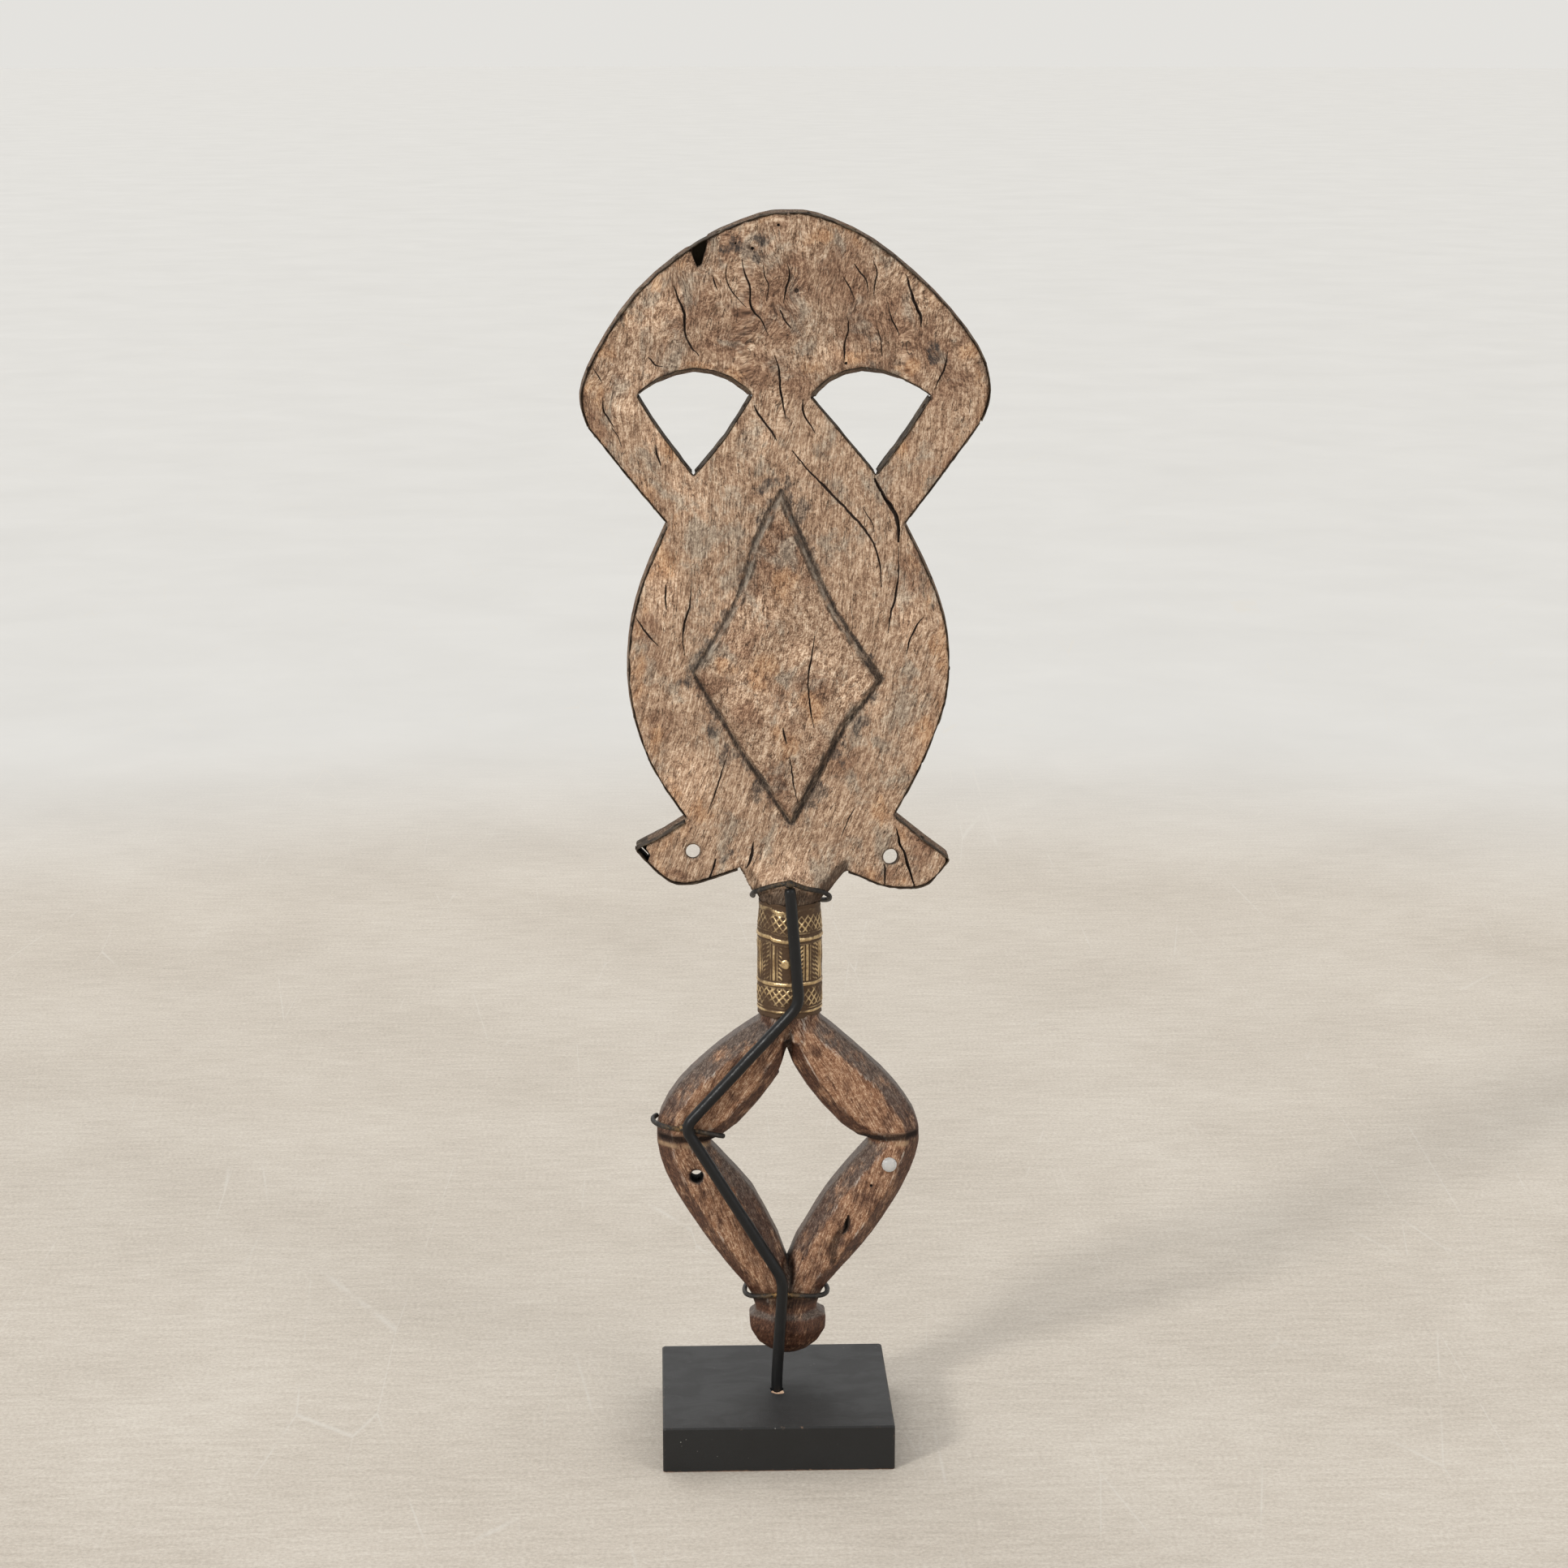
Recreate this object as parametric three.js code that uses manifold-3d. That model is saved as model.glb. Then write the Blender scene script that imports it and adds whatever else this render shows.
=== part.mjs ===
// Kota-style reliquary guardian figure on a display stand: one carved plank of wood (crescent
// headdress, oval face, pendants, neck, lozenge legs, foot knob) with thin metal sheeting on its
// front and edges, held by a bent steel rod with three wire clips in a square wooden block.
// Millimetres, +Z up. The metal-clad front faces -Y and the bare wooden back faces +Y.
import * as THREE from 'three';
import { mergeVertices } from 'three/addons/utils/BufferGeometryUtils.js';
import Module from 'manifold-3d';

const wasm = await Module();
wasm.setup();

// ---------------------------------------------------------------- driving dimensions
const GAP = 0.3; // clearance between pieces that touch on the real object

const BASE = { side: 120, height: 24, chamfer: 0.8 };
const ROD = { radius: 3, sides: 12, foot: [-0.6, 5.7], socketRadius: 3.4, socketDepth: 18, bendSteps: 4 };
const WIRE = { radius: 1.1, sides: 8, perSpan: 3 };

// The figure's upright axis stands this far from the middle of the block.
const FIGURE = { x: -8, y: -14.3 };

const BOARD = { half: 8.5, frontInset: 1.1, backInset: 2, chamfer: 2, chamferInset: 3.2 };
const RELIEF = { rise: 3.5, slope: 3.5 };
const NECK = { radius: 15.7, bottom: 212, top: 289 };
const SLEEVE = { inner: 16, outer: 16.7, bottom: 226.5, top: 285.8, segments: 36 };
const LEG = { front: -14.5, back: 13.5, bevel: 8 };
const KNEE = { centre: [57, -0.5, 158.6], reach: 12.2, tilt: 0.13 };
const FOOT_AXIS = 1;
const SHEET = 0.8; // thickness of the metal sheeting
const STRIP_BACK = 7.6; // how far back the folded edge strips reach
const DISH = { centre: [0, 415], halfWidth: 64, halfHeight: 78, depth: 6 };
const BAND = { halfWidth: 7, brow: 432, height: 13 };
const EYE = { x: 33, z: 432, radius: 13, rise: 5.5, nail: 1.1, nailHole: 1.5, nailDepth: 7 };
const BUMPER = { x: -52, z: 145.7, radius: 4, rise: 2.4 };

// Holes drilled right through, one in each pendant and one in the left shin. Each starts at (x, z)
// on the back and comes out lower in front, falling this much per millimetre.
const BORES = {
  pendantLeft: { x: 50.2, z: 314.4, radius: 3.7, back: BOARD.half, fall: 0.2 },
  pendantRight: { x: -52.3, z: 310.7, radius: 4, back: BOARD.half, fall: 0.2 },
  shin: { x: 49.2, z: 140.2, radius: 3.3, back: LEG.back, fall: 0.15 },
};
const THROUGH = 40; // further than the figure reaches, front or back

// A sliver of wood that has split off the edge of the crescent.
const NOTCH = [[45.5, 609.5], [51, 624], [46, 632], [40, 632], [41.3, 625]];

// Where the front sheets meet: their seams are at these heights, in joints this wide.
const SEAM = { crescent: 549, gap: 0.4 };

// ---------------------------------------------------------------- materials
const material = (color, roughness, metalness = 0) =>
  new THREE.MeshStandardMaterial({ color, roughness, metalness });
const WOOD = material('#86674a', 0.85);
const BRASS = material('#8a6f3c', 0.45, 0.9);
const COPPER = material('#7b4c34', 0.5, 0.9);
const DARK_METAL = material('#3a342c', 0.55, 0.8);
const IRON = material('#26211d', 0.7, 0.7);
const BLACK_STEEL = material('#141312', 0.5, 0.4);
const BLACK_PAINT = material('#161616', 0.6);
const CLEAR_RUBBER = material('#dcdcd4', 0.15);

// ---------------------------------------------------------------- flat outlines, as [x, z] points
const spline = (points, perSpan = 3) =>
  new THREE.SplineCurve(points.map(([x, z]) => new THREE.Vector2(x, z)))
    .getPoints(perSpan * (points.length - 1))
    .map((p) => [p.x, p.y]);

// Strings paths end to end, leaving out points that repeat the one before.
function join(...paths) {
  const points = [];
  for (const point of paths.flat()) {
    const last = points.at(-1);
    if (!last || Math.hypot(point[0] - last[0], point[1] - last[1]) > 0.05) points.push(point);
  }
  return points;
}

function closed(...paths) {
  const points = join(...paths);
  const [first, last] = [points[0], points.at(-1)];
  if (Math.hypot(first[0] - last[0], first[1] - last[1]) < 0.05) points.pop();
  return points;
}

// Moves an outline sideways with mitred corners: outwards for a counter-clockwise loop.
function offset(points, distance, isLoop = true) {
  const count = points.length;
  const normal = (a, b) => {
    const length = Math.hypot(b[0] - a[0], b[1] - a[1]);
    return [(b[1] - a[1]) / length, (a[0] - b[0]) / length];
  };
  return points.map((point, i) => {
    const before = isLoop || i > 0 ? normal(points[(i + count - 1) % count], point) : null;
    const after = isLoop || i < count - 1 ? normal(point, points[(i + 1) % count]) : null;
    const [a, b] = [before ?? after, after ?? before];
    const scale = distance / (1 + a[0] * b[0] + a[1] * b[1]);
    return [point[0] + (a[0] + b[0]) * scale, point[1] + (a[1] + b[1]) * scale];
  });
}

// ---------------------------------------------------------------- closed surfaces and solids
function surface(vertices, triangles) {
  const geometry = new THREE.BufferGeometry();
  geometry.setAttribute('position', new THREE.Float32BufferAttribute(vertices.flat(), 3));
  geometry.setIndex(triangles.flat());
  return geometry;
}

function capTriangles(outer, holes) {
  const vectors = (loop) => loop.map(([x, z]) => new THREE.Vector2(x, z));
  const all = vectors([outer, ...holes].flat());
  const faces = THREE.ShapeUtils.triangulateShape(vectors(outer), holes.map(vectors));
  return faces.map(([a, b, c]) => {
    const [p, q, r] = [all[a], all[b], all[c]];
    const area = (q.x - p.x) * (r.y - p.y) - (r.x - p.x) * (q.y - p.y);
    return area > 0 ? [a, b, c] : [a, c, b];
  });
}

// A plate in the XZ plane: layers from front (low y) to back, all with the same point counts.
function slab(layers) {
  const loops = layers.map(({ outer, holes = [] }) => [outer, ...holes]);
  const size = loops[0].flat().length;
  const vertices = layers.flatMap(({ y }, k) => loops[k].flat().map(([x, z]) => [x, y, z]));
  const last = (layers.length - 1) * size;
  const triangles = capTriangles(loops[0][0], loops[0].slice(1));
  for (const [a, b, c] of capTriangles(loops.at(-1)[0], loops.at(-1).slice(1))) {
    triangles.push([last + a, last + c, last + b]);
  }
  for (let k = 0; k < layers.length - 1; k += 1) {
    let start = k * size;
    loops[k].forEach((loop, which) => {
      for (let i = 0; i < loop.length; i += 1) {
        const [a, b] = [start + i, start + ((i + 1) % loop.length)];
        const quad = which === 0
          ? [[a, b + size, b], [a, a + size, b + size]]
          : [[a, b, b + size], [a, b + size, a + size]];
        triangles.push(...quad);
      }
      start += loop.length;
    });
  }
  return surface(vertices, triangles);
}

const prism = (outer, front, back) => slab([{ y: front, outer }, { y: back, outer }]);

// Skins a stack of rings, each a list of [x, y, z] points turning the same way, and caps both ends.
function loft(rings) {
  const sides = rings[0].length;
  const middle = (ring) => [0, 1, 2].map((k) => ring.reduce((sum, p) => sum + p[k], 0) / sides);
  const vertices = [...rings.flat(), middle(rings[0]), middle(rings.at(-1))];
  const [start, end] = [rings.length * sides, rings.length * sides + 1];
  const triangles = [];
  for (let i = 0; i < sides; i += 1) {
    const j = (i + 1) % sides;
    triangles.push([start, j, i], [end, end - 1 - sides + i, end - 1 - sides + j]);
    for (let k = 0; k < rings.length - 1; k += 1) {
      const [a, b] = [k * sides + i, k * sides + j];
      triangles.push([a, b, b + sides], [a, b + sides, a + sides]);
    }
  }
  return surface(vertices, triangles);
}

const ellipse = (z, radiusX, radiusY, sides, x = 0, turn = 0) =>
  Array.from({ length: sides }, (_, i) => {
    const angle = ((i + turn) / sides) * 2 * Math.PI;
    return [x + radiusX * Math.cos(angle), radiusY * Math.sin(angle), z];
  });

// A round bar along a path of Vector3 points, with flat ends.
function bar(path, radius, sides) {
  const tangents = path.map((_, i) =>
    path[Math.min(i + 1, path.length - 1)].clone().sub(path[Math.max(i - 1, 0)]).normalize());
  const side = new THREE.Vector3(0, 1, 0).cross(tangents[0]);
  if (side.length() < 0.1) side.set(1, 0, 0);
  const rings = path.map((point, i) => {
    side.addScaledVector(tangents[i], -side.dot(tangents[i])).normalize();
    const up = tangents[i].clone().cross(side);
    return Array.from({ length: sides }, (_, k) => {
      const angle = (k / sides) * 2 * Math.PI;
      return point.clone().addScaledVector(side, radius * Math.cos(angle))
        .addScaledVector(up, radius * Math.sin(angle)).toArray();
    });
  });
  return loft(rings);
}

// Corner points rounded by short curves, with straight runs between them.
function bentPath(corners, reach, steps) {
  const points = corners.map((corner) => new THREE.Vector3(...corner));
  const path = [points[0]];
  for (let i = 1; i < points.length - 1; i += 1) {
    const into = points[i - 1].clone().sub(points[i]).setLength(reach).add(points[i]);
    const out = points[i + 1].clone().sub(points[i]).setLength(reach).add(points[i]);
    path.push(...new THREE.QuadraticBezierCurve3(into, points[i], out).getPoints(steps));
  }
  return [...path, points.at(-1)];
}

const smoothPath = (points, perSpan) =>
  new THREE.CatmullRomCurve3(points.map((point) => new THREE.Vector3(...point)))
    .getPoints(perSpan * (points.length - 1));

// Turns a profile of [radius, height] points about the Z axis.
const turned = (profile, segments) =>
  new THREE.LatheGeometry(profile.map(([r, h]) => new THREE.Vector2(r, h)), segments)
    .rotateX(Math.PI / 2);

// The same with its axis along Y, the profile's heights running towards the back (+Y).
const turnedBack = (profile, segments, x, z) =>
  new THREE.LatheGeometry(profile.map(([r, h]) => new THREE.Vector2(r, h)), segments)
    .translate(x, 0, z);

function solid(geometry) {
  const bare = geometry.clone();
  bare.deleteAttribute('normal');
  bare.deleteAttribute('uv');
  const merged = mergeVertices(bare, 1e-4);
  const vertProperties = new Float32Array(merged.attributes.position.array);
  const indices = Array.from(merged.index.array);
  const triVerts = [];
  for (let i = 0; i < indices.length; i += 3) {
    const [a, b, c] = indices.slice(i, i + 3);
    if (a !== b && b !== c && c !== a) triVerts.push(a, b, c);
  }
  const corner = (i) => new THREE.Vector3(...vertProperties.subarray(i * 3, i * 3 + 3));
  let volume = 0;
  for (let i = 0; i < triVerts.length; i += 3) {
    volume += corner(triVerts[i]).dot(corner(triVerts[i + 1]).cross(corner(triVerts[i + 2])));
  }
  if (volume < 0) triVerts.reverse();
  const mesh = new wasm.Mesh({ numProp: 3, vertProperties, triVerts: new Uint32Array(triVerts) });
  return new wasm.Manifold(mesh);
}

// A round rod of space along Y at (x, z), from far in front back to the given depth.
const rodOfSpace = (x, z, radius, depth) =>
  turnedBack([[0, -THROUGH], [radius, -THROUGH], [radius, depth], [0, depth]], 20, x, z);
const nailBore = (x, depth) => solid(rodOfSpace(x, EYE.z, EYE.nailHole, depth));
const bore = ({ x, z, radius, back, fall }, wider = 0) => solid(
  rodOfSpace(x, z - fall * back, radius + wider, THROUGH)
    .applyMatrix4(new THREE.Matrix4().makeShear(0, 0, 0, fall, 0, 0)));

const group = new THREE.Group();
const figure = new THREE.Group();
figure.position.set(FIGURE.x, FIGURE.y, 0);
group.add(figure);

function piece(name, body, look, parent = figure) {
  const { vertProperties, triVerts } = body.getMesh();
  const geometry = new THREE.BufferGeometry();
  geometry.setAttribute('position', new THREE.Float32BufferAttribute(vertProperties, 3));
  geometry.setIndex(Array.from(triVerts));
  geometry.computeVertexNormals();
  const mesh = new THREE.Mesh(geometry, look);
  mesh.name = name;
  parent.add(mesh);
}

// ---------------------------------------------------------------- outlines of the figure
// The two sides are hand carved and differ a little. "left" is +X. Each run climbs, except the
// right flare, which goes down to the neck.
const RUN = {
  flareRight: spline([[-29, 302.5], [-24.5, 297], [-20.2, 291], [-17, 285]], 2),
  pendantRight: join(
    spline([[-29, 302.5], [-36.4, 299.6], [-47.7, 294.8], [-61.7, 293.3], [-73, 296.3], [-83.2, 309]]),
    spline([[-83.2, 309], [-70, 319], [-54, 332]], 1)),
  cheekRight: spline([[-54, 332], [-69, 361], [-80.5, 394], [-81, 426], [-73, 454], [-58.5, 484]]),
  strutRight: spline([[-58.5, 484], [-73, 503], [-97, 536]], 2),
  crownRight: spline([[-97, 536], [-101.5, 552], [-95.5, 573], [-72.5, 601.5], [-42, 627],
    [-14, 639.8], [1, 641.3]]),
};
RUN.flareLeft = spline([[15.5, 285], [20, 294], [25.6, 304.6]], 2);
RUN.pendantLeft = join(
  spline([[25.6, 304.6], [41, 299.4], [54, 296.4], [65.5, 300], [80.5, 315.5]]),
  spline([[80.5, 315.5], [66, 323], [53.5, 331]], 1));
RUN.cheekLeft = spline([[53.5, 331], [72, 360], [82, 394], [82, 426], [75.5, 454], [62.5, 484.5]]);
RUN.strutLeft = spline([[62.5, 484.5], [78, 503], [102.5, 534]], 2);
RUN.crownLeft = spline([[102.5, 534], [106, 550], [98, 571], [77, 601.5], [46, 626.5], [15, 639.8],
  [1, 641.3]]);

const descending = (run) => [...run].reverse();
const silhouette = closed(
  RUN.flareLeft, RUN.pendantLeft, RUN.cheekLeft, RUN.strutLeft, RUN.crownLeft,
  descending(RUN.crownRight), descending(RUN.strutRight), descending(RUN.cheekRight),
  descending(RUN.pendantRight), RUN.flareRight);

// The fan-shaped openings between crescent and face: over the arch towards -X, down one side to
// the foot and up the other.
const fan = ([start, crest, end, foot, downBulge, upBulge]) => ({
  arch: spline([start, ...crest, end], 2),
  down: spline([end, downBulge, foot], 2),
  up: spline([foot, upBulge, start], 2),
});
const OPENING = {
  left: {
    front: fan([[77, 548.5], [[67, 555.5], [48.5, 561], [30, 556]], [18.5, 546.5],
      [49, 506], [33, 524], [66, 530]]),
    back: fan([[78.5, 550.5], [[67, 559.2], [48.5, 564.4], [30, 560]], [18, 550.5],
      [49, 508], [33, 527], [67, 532]]),
  },
  right: {
    front: fan([[-12, 546.5], [[-20, 555], [-37, 561], [-57, 556.3]], [-72, 547.5],
      [-44.5, 506.5], [-59.5, 528], [-26.5, 527]]),
    back: fan([[-9, 549.5], [[-19, 559.2], [-36, 564.5], [-55.6, 559.6]], [-72.5, 549.5],
      [-43.7, 508], [-59.5, 529.5], [-25.5, 530]]),
  },
};
const fanLoop = (sides) => closed(sides.arch, sides.down, sides.up);

const legOutline = closed(
  spline([[15.5, 55], [21, 73], [30.5, 85.6], [46.8, 107.6], [65.3, 140], [69.8, 165], [58.4, 188.4],
    [36, 209.5], [16, 223.5]]), [[9.5, 234], [9.5, 242], [-9.5, 242], [-9.5, 234]],
  spline([[-16, 223.5], [-33.4, 208.8], [-54.9, 187.2], [-68, 164], [-63.2, 139], [-44.2, 106.5],
    [-26.5, 85], [-17, 73], [-11.5, 55]]));
const legOpening = closed(
  spline([[0.3, 203.4], [-8.5, 187.7], [-26.7, 166], [-41.8, 155.6]], 2),
  spline([[-41.8, 155.6], [-31.9, 144.5], [-19.5, 128.5], [-6.3, 107], [1, 94]], 2),
  spline([[1, 94], [7.8, 107], [19.2, 129], [32.1, 145], [42.3, 156]], 2),
  spline([[42.3, 156], [27.3, 166.7], [9.7, 188], [0.3, 203.4]], 2));

const lozenge = closed(
  spline([[4.5, 501], [-9, 469], [-23, 439], [-46.5, 404.5]], 2),
  [[-46.5, 404.5], [-28, 380.7], [-0.5, 329], [24, 366], [49, 408]],
  spline([[49, 408], [26.5, 446], [18, 475], [4.5, 501]], 2));

// ---------------------------------------------------------------- display block and metal stand
function buildBase() {
  const square = (half, cut, z) => [
    [half, -half + cut], [half, half - cut], [half - cut, half], [-half + cut, half],
    [-half, half - cut], [-half, -half + cut], [-half + cut, -half], [half - cut, -half],
  ].map(([x, y]) => [x, y, z]);
  const { side, height, chamfer } = BASE;
  const half = side / 2;
  const block = solid(loft([
    square(half - chamfer / 2, chamfer, 0), square(half, chamfer, chamfer / 2),
    square(half, chamfer, height - chamfer), square(half - chamfer, chamfer, height)]));
  const [x, y] = ROD.foot;
  const socket = turned([[0, height - ROD.socketDepth], [ROD.socketRadius, height - ROD.socketDepth],
    [ROD.socketRadius, height + 5], [0, height + 5]], 24).translate(x, y, 0);
  piece('base_block', block.subtract(solid(socket)), BLACK_PAINT, group);
}

// The rod and its clips are placed from the figure's axis, like everything that they hold.
const rodY = ROD.foot[1] - FIGURE.y;
const rodFootX = ROD.foot[0] - FIGURE.x;
const ROD_CORNERS = [
  [rodFootX, BASE.height - ROD.socketDepth + 1], [rodFootX, BASE.height + 8], [4, 84.5], [55.5, 169],
  [-4.2, 234.5], [0.6, 297],
].map(([x, z]) => [x, rodY, z]);
const ROD_BEND = 6; // distance from each corner at which its bend starts

const CLIPS = {
  neck_clip: {
    wire: [[9, -16.3, 284.4], [0, -18.9, 283.4], [-10, -16.4, 283.2], [-17.2, -9, 283.8],
      [-19.8, -0.5, 286], [-20.5, 6, 288.2], [-19.8, 10.6, 291], [-15.6, 13.4, 293.8], [-8, 16.6, 296],
      [0.5, 19.6, 299.5], [9.3, 16.8, 297.6], [17.6, 10.4, 293.4], [19.6, 2.5, 289.8],
      [18.8, -4, 287.5]],
    bead: [0.6, 19.6, 299.2],
  },
  knee_clip: {
    wire: [[69.8, -2, 169.4], [71.8, 1.5, 168.9], [71.5, 6.5, 168.4], [68.6, 11.4, 168],
      [63.2, 15, 167.5], [58.6, 15.3, 166.8], [55, 15.3, 166.4], [50.6, 15.3, 165.6],
      [42.1, 15.3, 164.1], [38.4, 14.8, 163.1], [34.8, 13, 162]],
    bead: [55.6, 17.4, 168],
  },
  ankle_clip: {
    wire: [[22.4, -9, 72.8], [23.6, -3, 72.9], [23.9, 4, 73], [22.7, 9.6, 73.2], [18.7, 13.8, 73.6],
      [11.5, 15.3, 74.4], [4.5, 15.4, 74.8], [-3, 15.5, 74.4], [-10, 15.3, 73.9],
      [-15.6, 13.4, 73.5], [-19, 9.2, 73.3], [-20, 3, 73.2], [-19.7, -3, 73], [-18.6, -9, 72.8]],
    bead: [4.6, 17.4, 74.8],
  },
};

function buildStand() {
  const path = bentPath(ROD_CORNERS, ROD_BEND, ROD.bendSteps);
  piece('mount_rod', solid(bar(path, ROD.radius, ROD.sides)), BLACK_STEEL);
  const longer = [...path, path.at(-1).clone().add(new THREE.Vector3(0, 0, GAP))];
  const clearance = solid(bar(longer, ROD.radius + GAP, ROD.sides));
  for (const [name, { wire, bead }] of Object.entries(CLIPS)) {
    const blob = new THREE.SphereGeometry(2.3, 12, 8).scale(1.25, 0.9, 0.95).translate(...bead);
    const clip = solid(bar(smoothPath(wire, WIRE.perSpan), WIRE.radius, WIRE.sides))
      .add(solid(blob)).subtract(clearance);
    piece(name, clip, BLACK_STEEL);
  }
}

function buildBumper() {
  const { radius, rise, x, z } = BUMPER;
  const dome = turnedBack([[0, 0], [radius, 0], [radius, 0.6], [radius * 0.86, rise * 0.7],
    [radius * 0.5, rise * 0.95], [0, rise]], 20, x, z).translate(0, LEG.back + GAP, 0);
  piece('clear_bumper', solid(dome), CLEAR_RUBBER);
}

// ---------------------------------------------------------------- carved wooden core
// The space in front of the board, its border following the dished face.
function frontSpace(shift) {
  const { depth, halfWidth, halfHeight, centre } = DISH;
  const arc = Array.from({ length: 9 }, (_, i) => {
    const r = i / 8;
    return [halfWidth * r, depth * (1 - r * r)];
  });
  const wide = 260;
  const profile = [...arc, [wide, 0], [wide, -40], [0, -40]];
  const geometry = new THREE.LatheGeometry(profile.map(([r, h]) => new THREE.Vector2(r, h)), 40);
  return solid(geometry.scale(1, 1, halfHeight / halfWidth)
    .translate(centre[0], -BOARD.half - shift, centre[1]));
}

function buildCore() {
  const fronts = [OPENING.left, OPENING.right].map((o) => offset(fanLoop(o.front), SHEET + GAP));
  const backs = [OPENING.left, OPENING.right].map((o) => fanLoop(o.back));
  const between = fronts.map((loop, k) => loop.map((p, i) => p.map((v, axis) =>
    v + (backs[k][i][axis] - v) * 0.95)));
  const head = solid(slab([
    { y: -BOARD.half, outer: offset(silhouette, -BOARD.frontInset), holes: fronts },
    { y: BOARD.half - BOARD.chamfer, outer: offset(silhouette, -BOARD.backInset), holes: between },
    { y: BOARD.half, outer: offset(silhouette, -BOARD.chamferInset), holes: backs },
  ])).subtract(frontSpace(0));

  const relief = solid(slab([
    { y: 2, outer: lozenge },
    { y: BOARD.half, outer: lozenge },
    { y: BOARD.half + RELIEF.rise, outer: offset(lozenge, -RELIEF.slope) },
  ]));
  const flare = solid(loft([
    ellipse(280, 15.2, 15.2, 24), ellipse(287, 15.5, 15.5, 24), ellipse(294, 20, 14.4, 24),
    ellipse(300, 23.4, 11.8, 24), ellipse(309, 24.5, 7.5, 24)]));
  const neck = solid(turned([[0, NECK.bottom], [NECK.radius, NECK.bottom], [NECK.radius, NECK.top],
    [0, NECK.top]], 36));

  const { front, back, bevel } = LEG;
  const rung = (y, inset) =>
    ({ y, outer: offset(legOutline, -inset), holes: [offset(legOpening, inset)] });
  const legs = solid(slab([
    rung(front, bevel), rung(front + bevel, 0), rung(back - bevel, 0), rung(back, bevel)]));

  const foot = solid(loft([[38.2, 4, 4], [40.5, 10.5, 9], [45.5, 17, 14], [53, 21.6, 17], [60.5, 22, 17],
    [64.5, 14, 12.5]].map(([z, radiusX, radiusY]) => ellipse(z, radiusX, radiusY, 8, FOOT_AXIS, 0.5))));

  let core = head.add(relief).add(flare).add(neck).add(legs).add(foot);

  for (const mirror of [1, -1]) {
    const groove = turned([[KNEE.reach, 0], [KNEE.reach + 10, 3.6], [KNEE.reach + 10, -3.6],
      [KNEE.reach, 0]], 28).rotateY(-mirror * KNEE.tilt)
      .translate(mirror * KNEE.centre[0], KNEE.centre[1], KNEE.centre[2]);
    core = core.subtract(solid(groove));
  }
  for (const hole of Object.values(BORES)) core = core.subtract(bore(hole));
  core = core.subtract(solid(prism(NOTCH, -THROUGH, THROUGH)));
  for (const x of [EYE.x, -EYE.x]) {
    core = core.subtract(nailBore(x, -BOARD.half + DISH.depth + EYE.nailDepth));
  }
  piece('wood_core', core, WOOD);
}

// ---------------------------------------------------------------- metal sheeting
function buildSleeve() {
  const { inner, outer, bottom, top, segments } = SLEEVE;
  const corners = [[inner, bottom], [outer, bottom], [outer, top], [inner, top], [inner, bottom]];
  piece('neck_sleeve', solid(turned(corners, segments)), BRASS);
}

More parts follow.
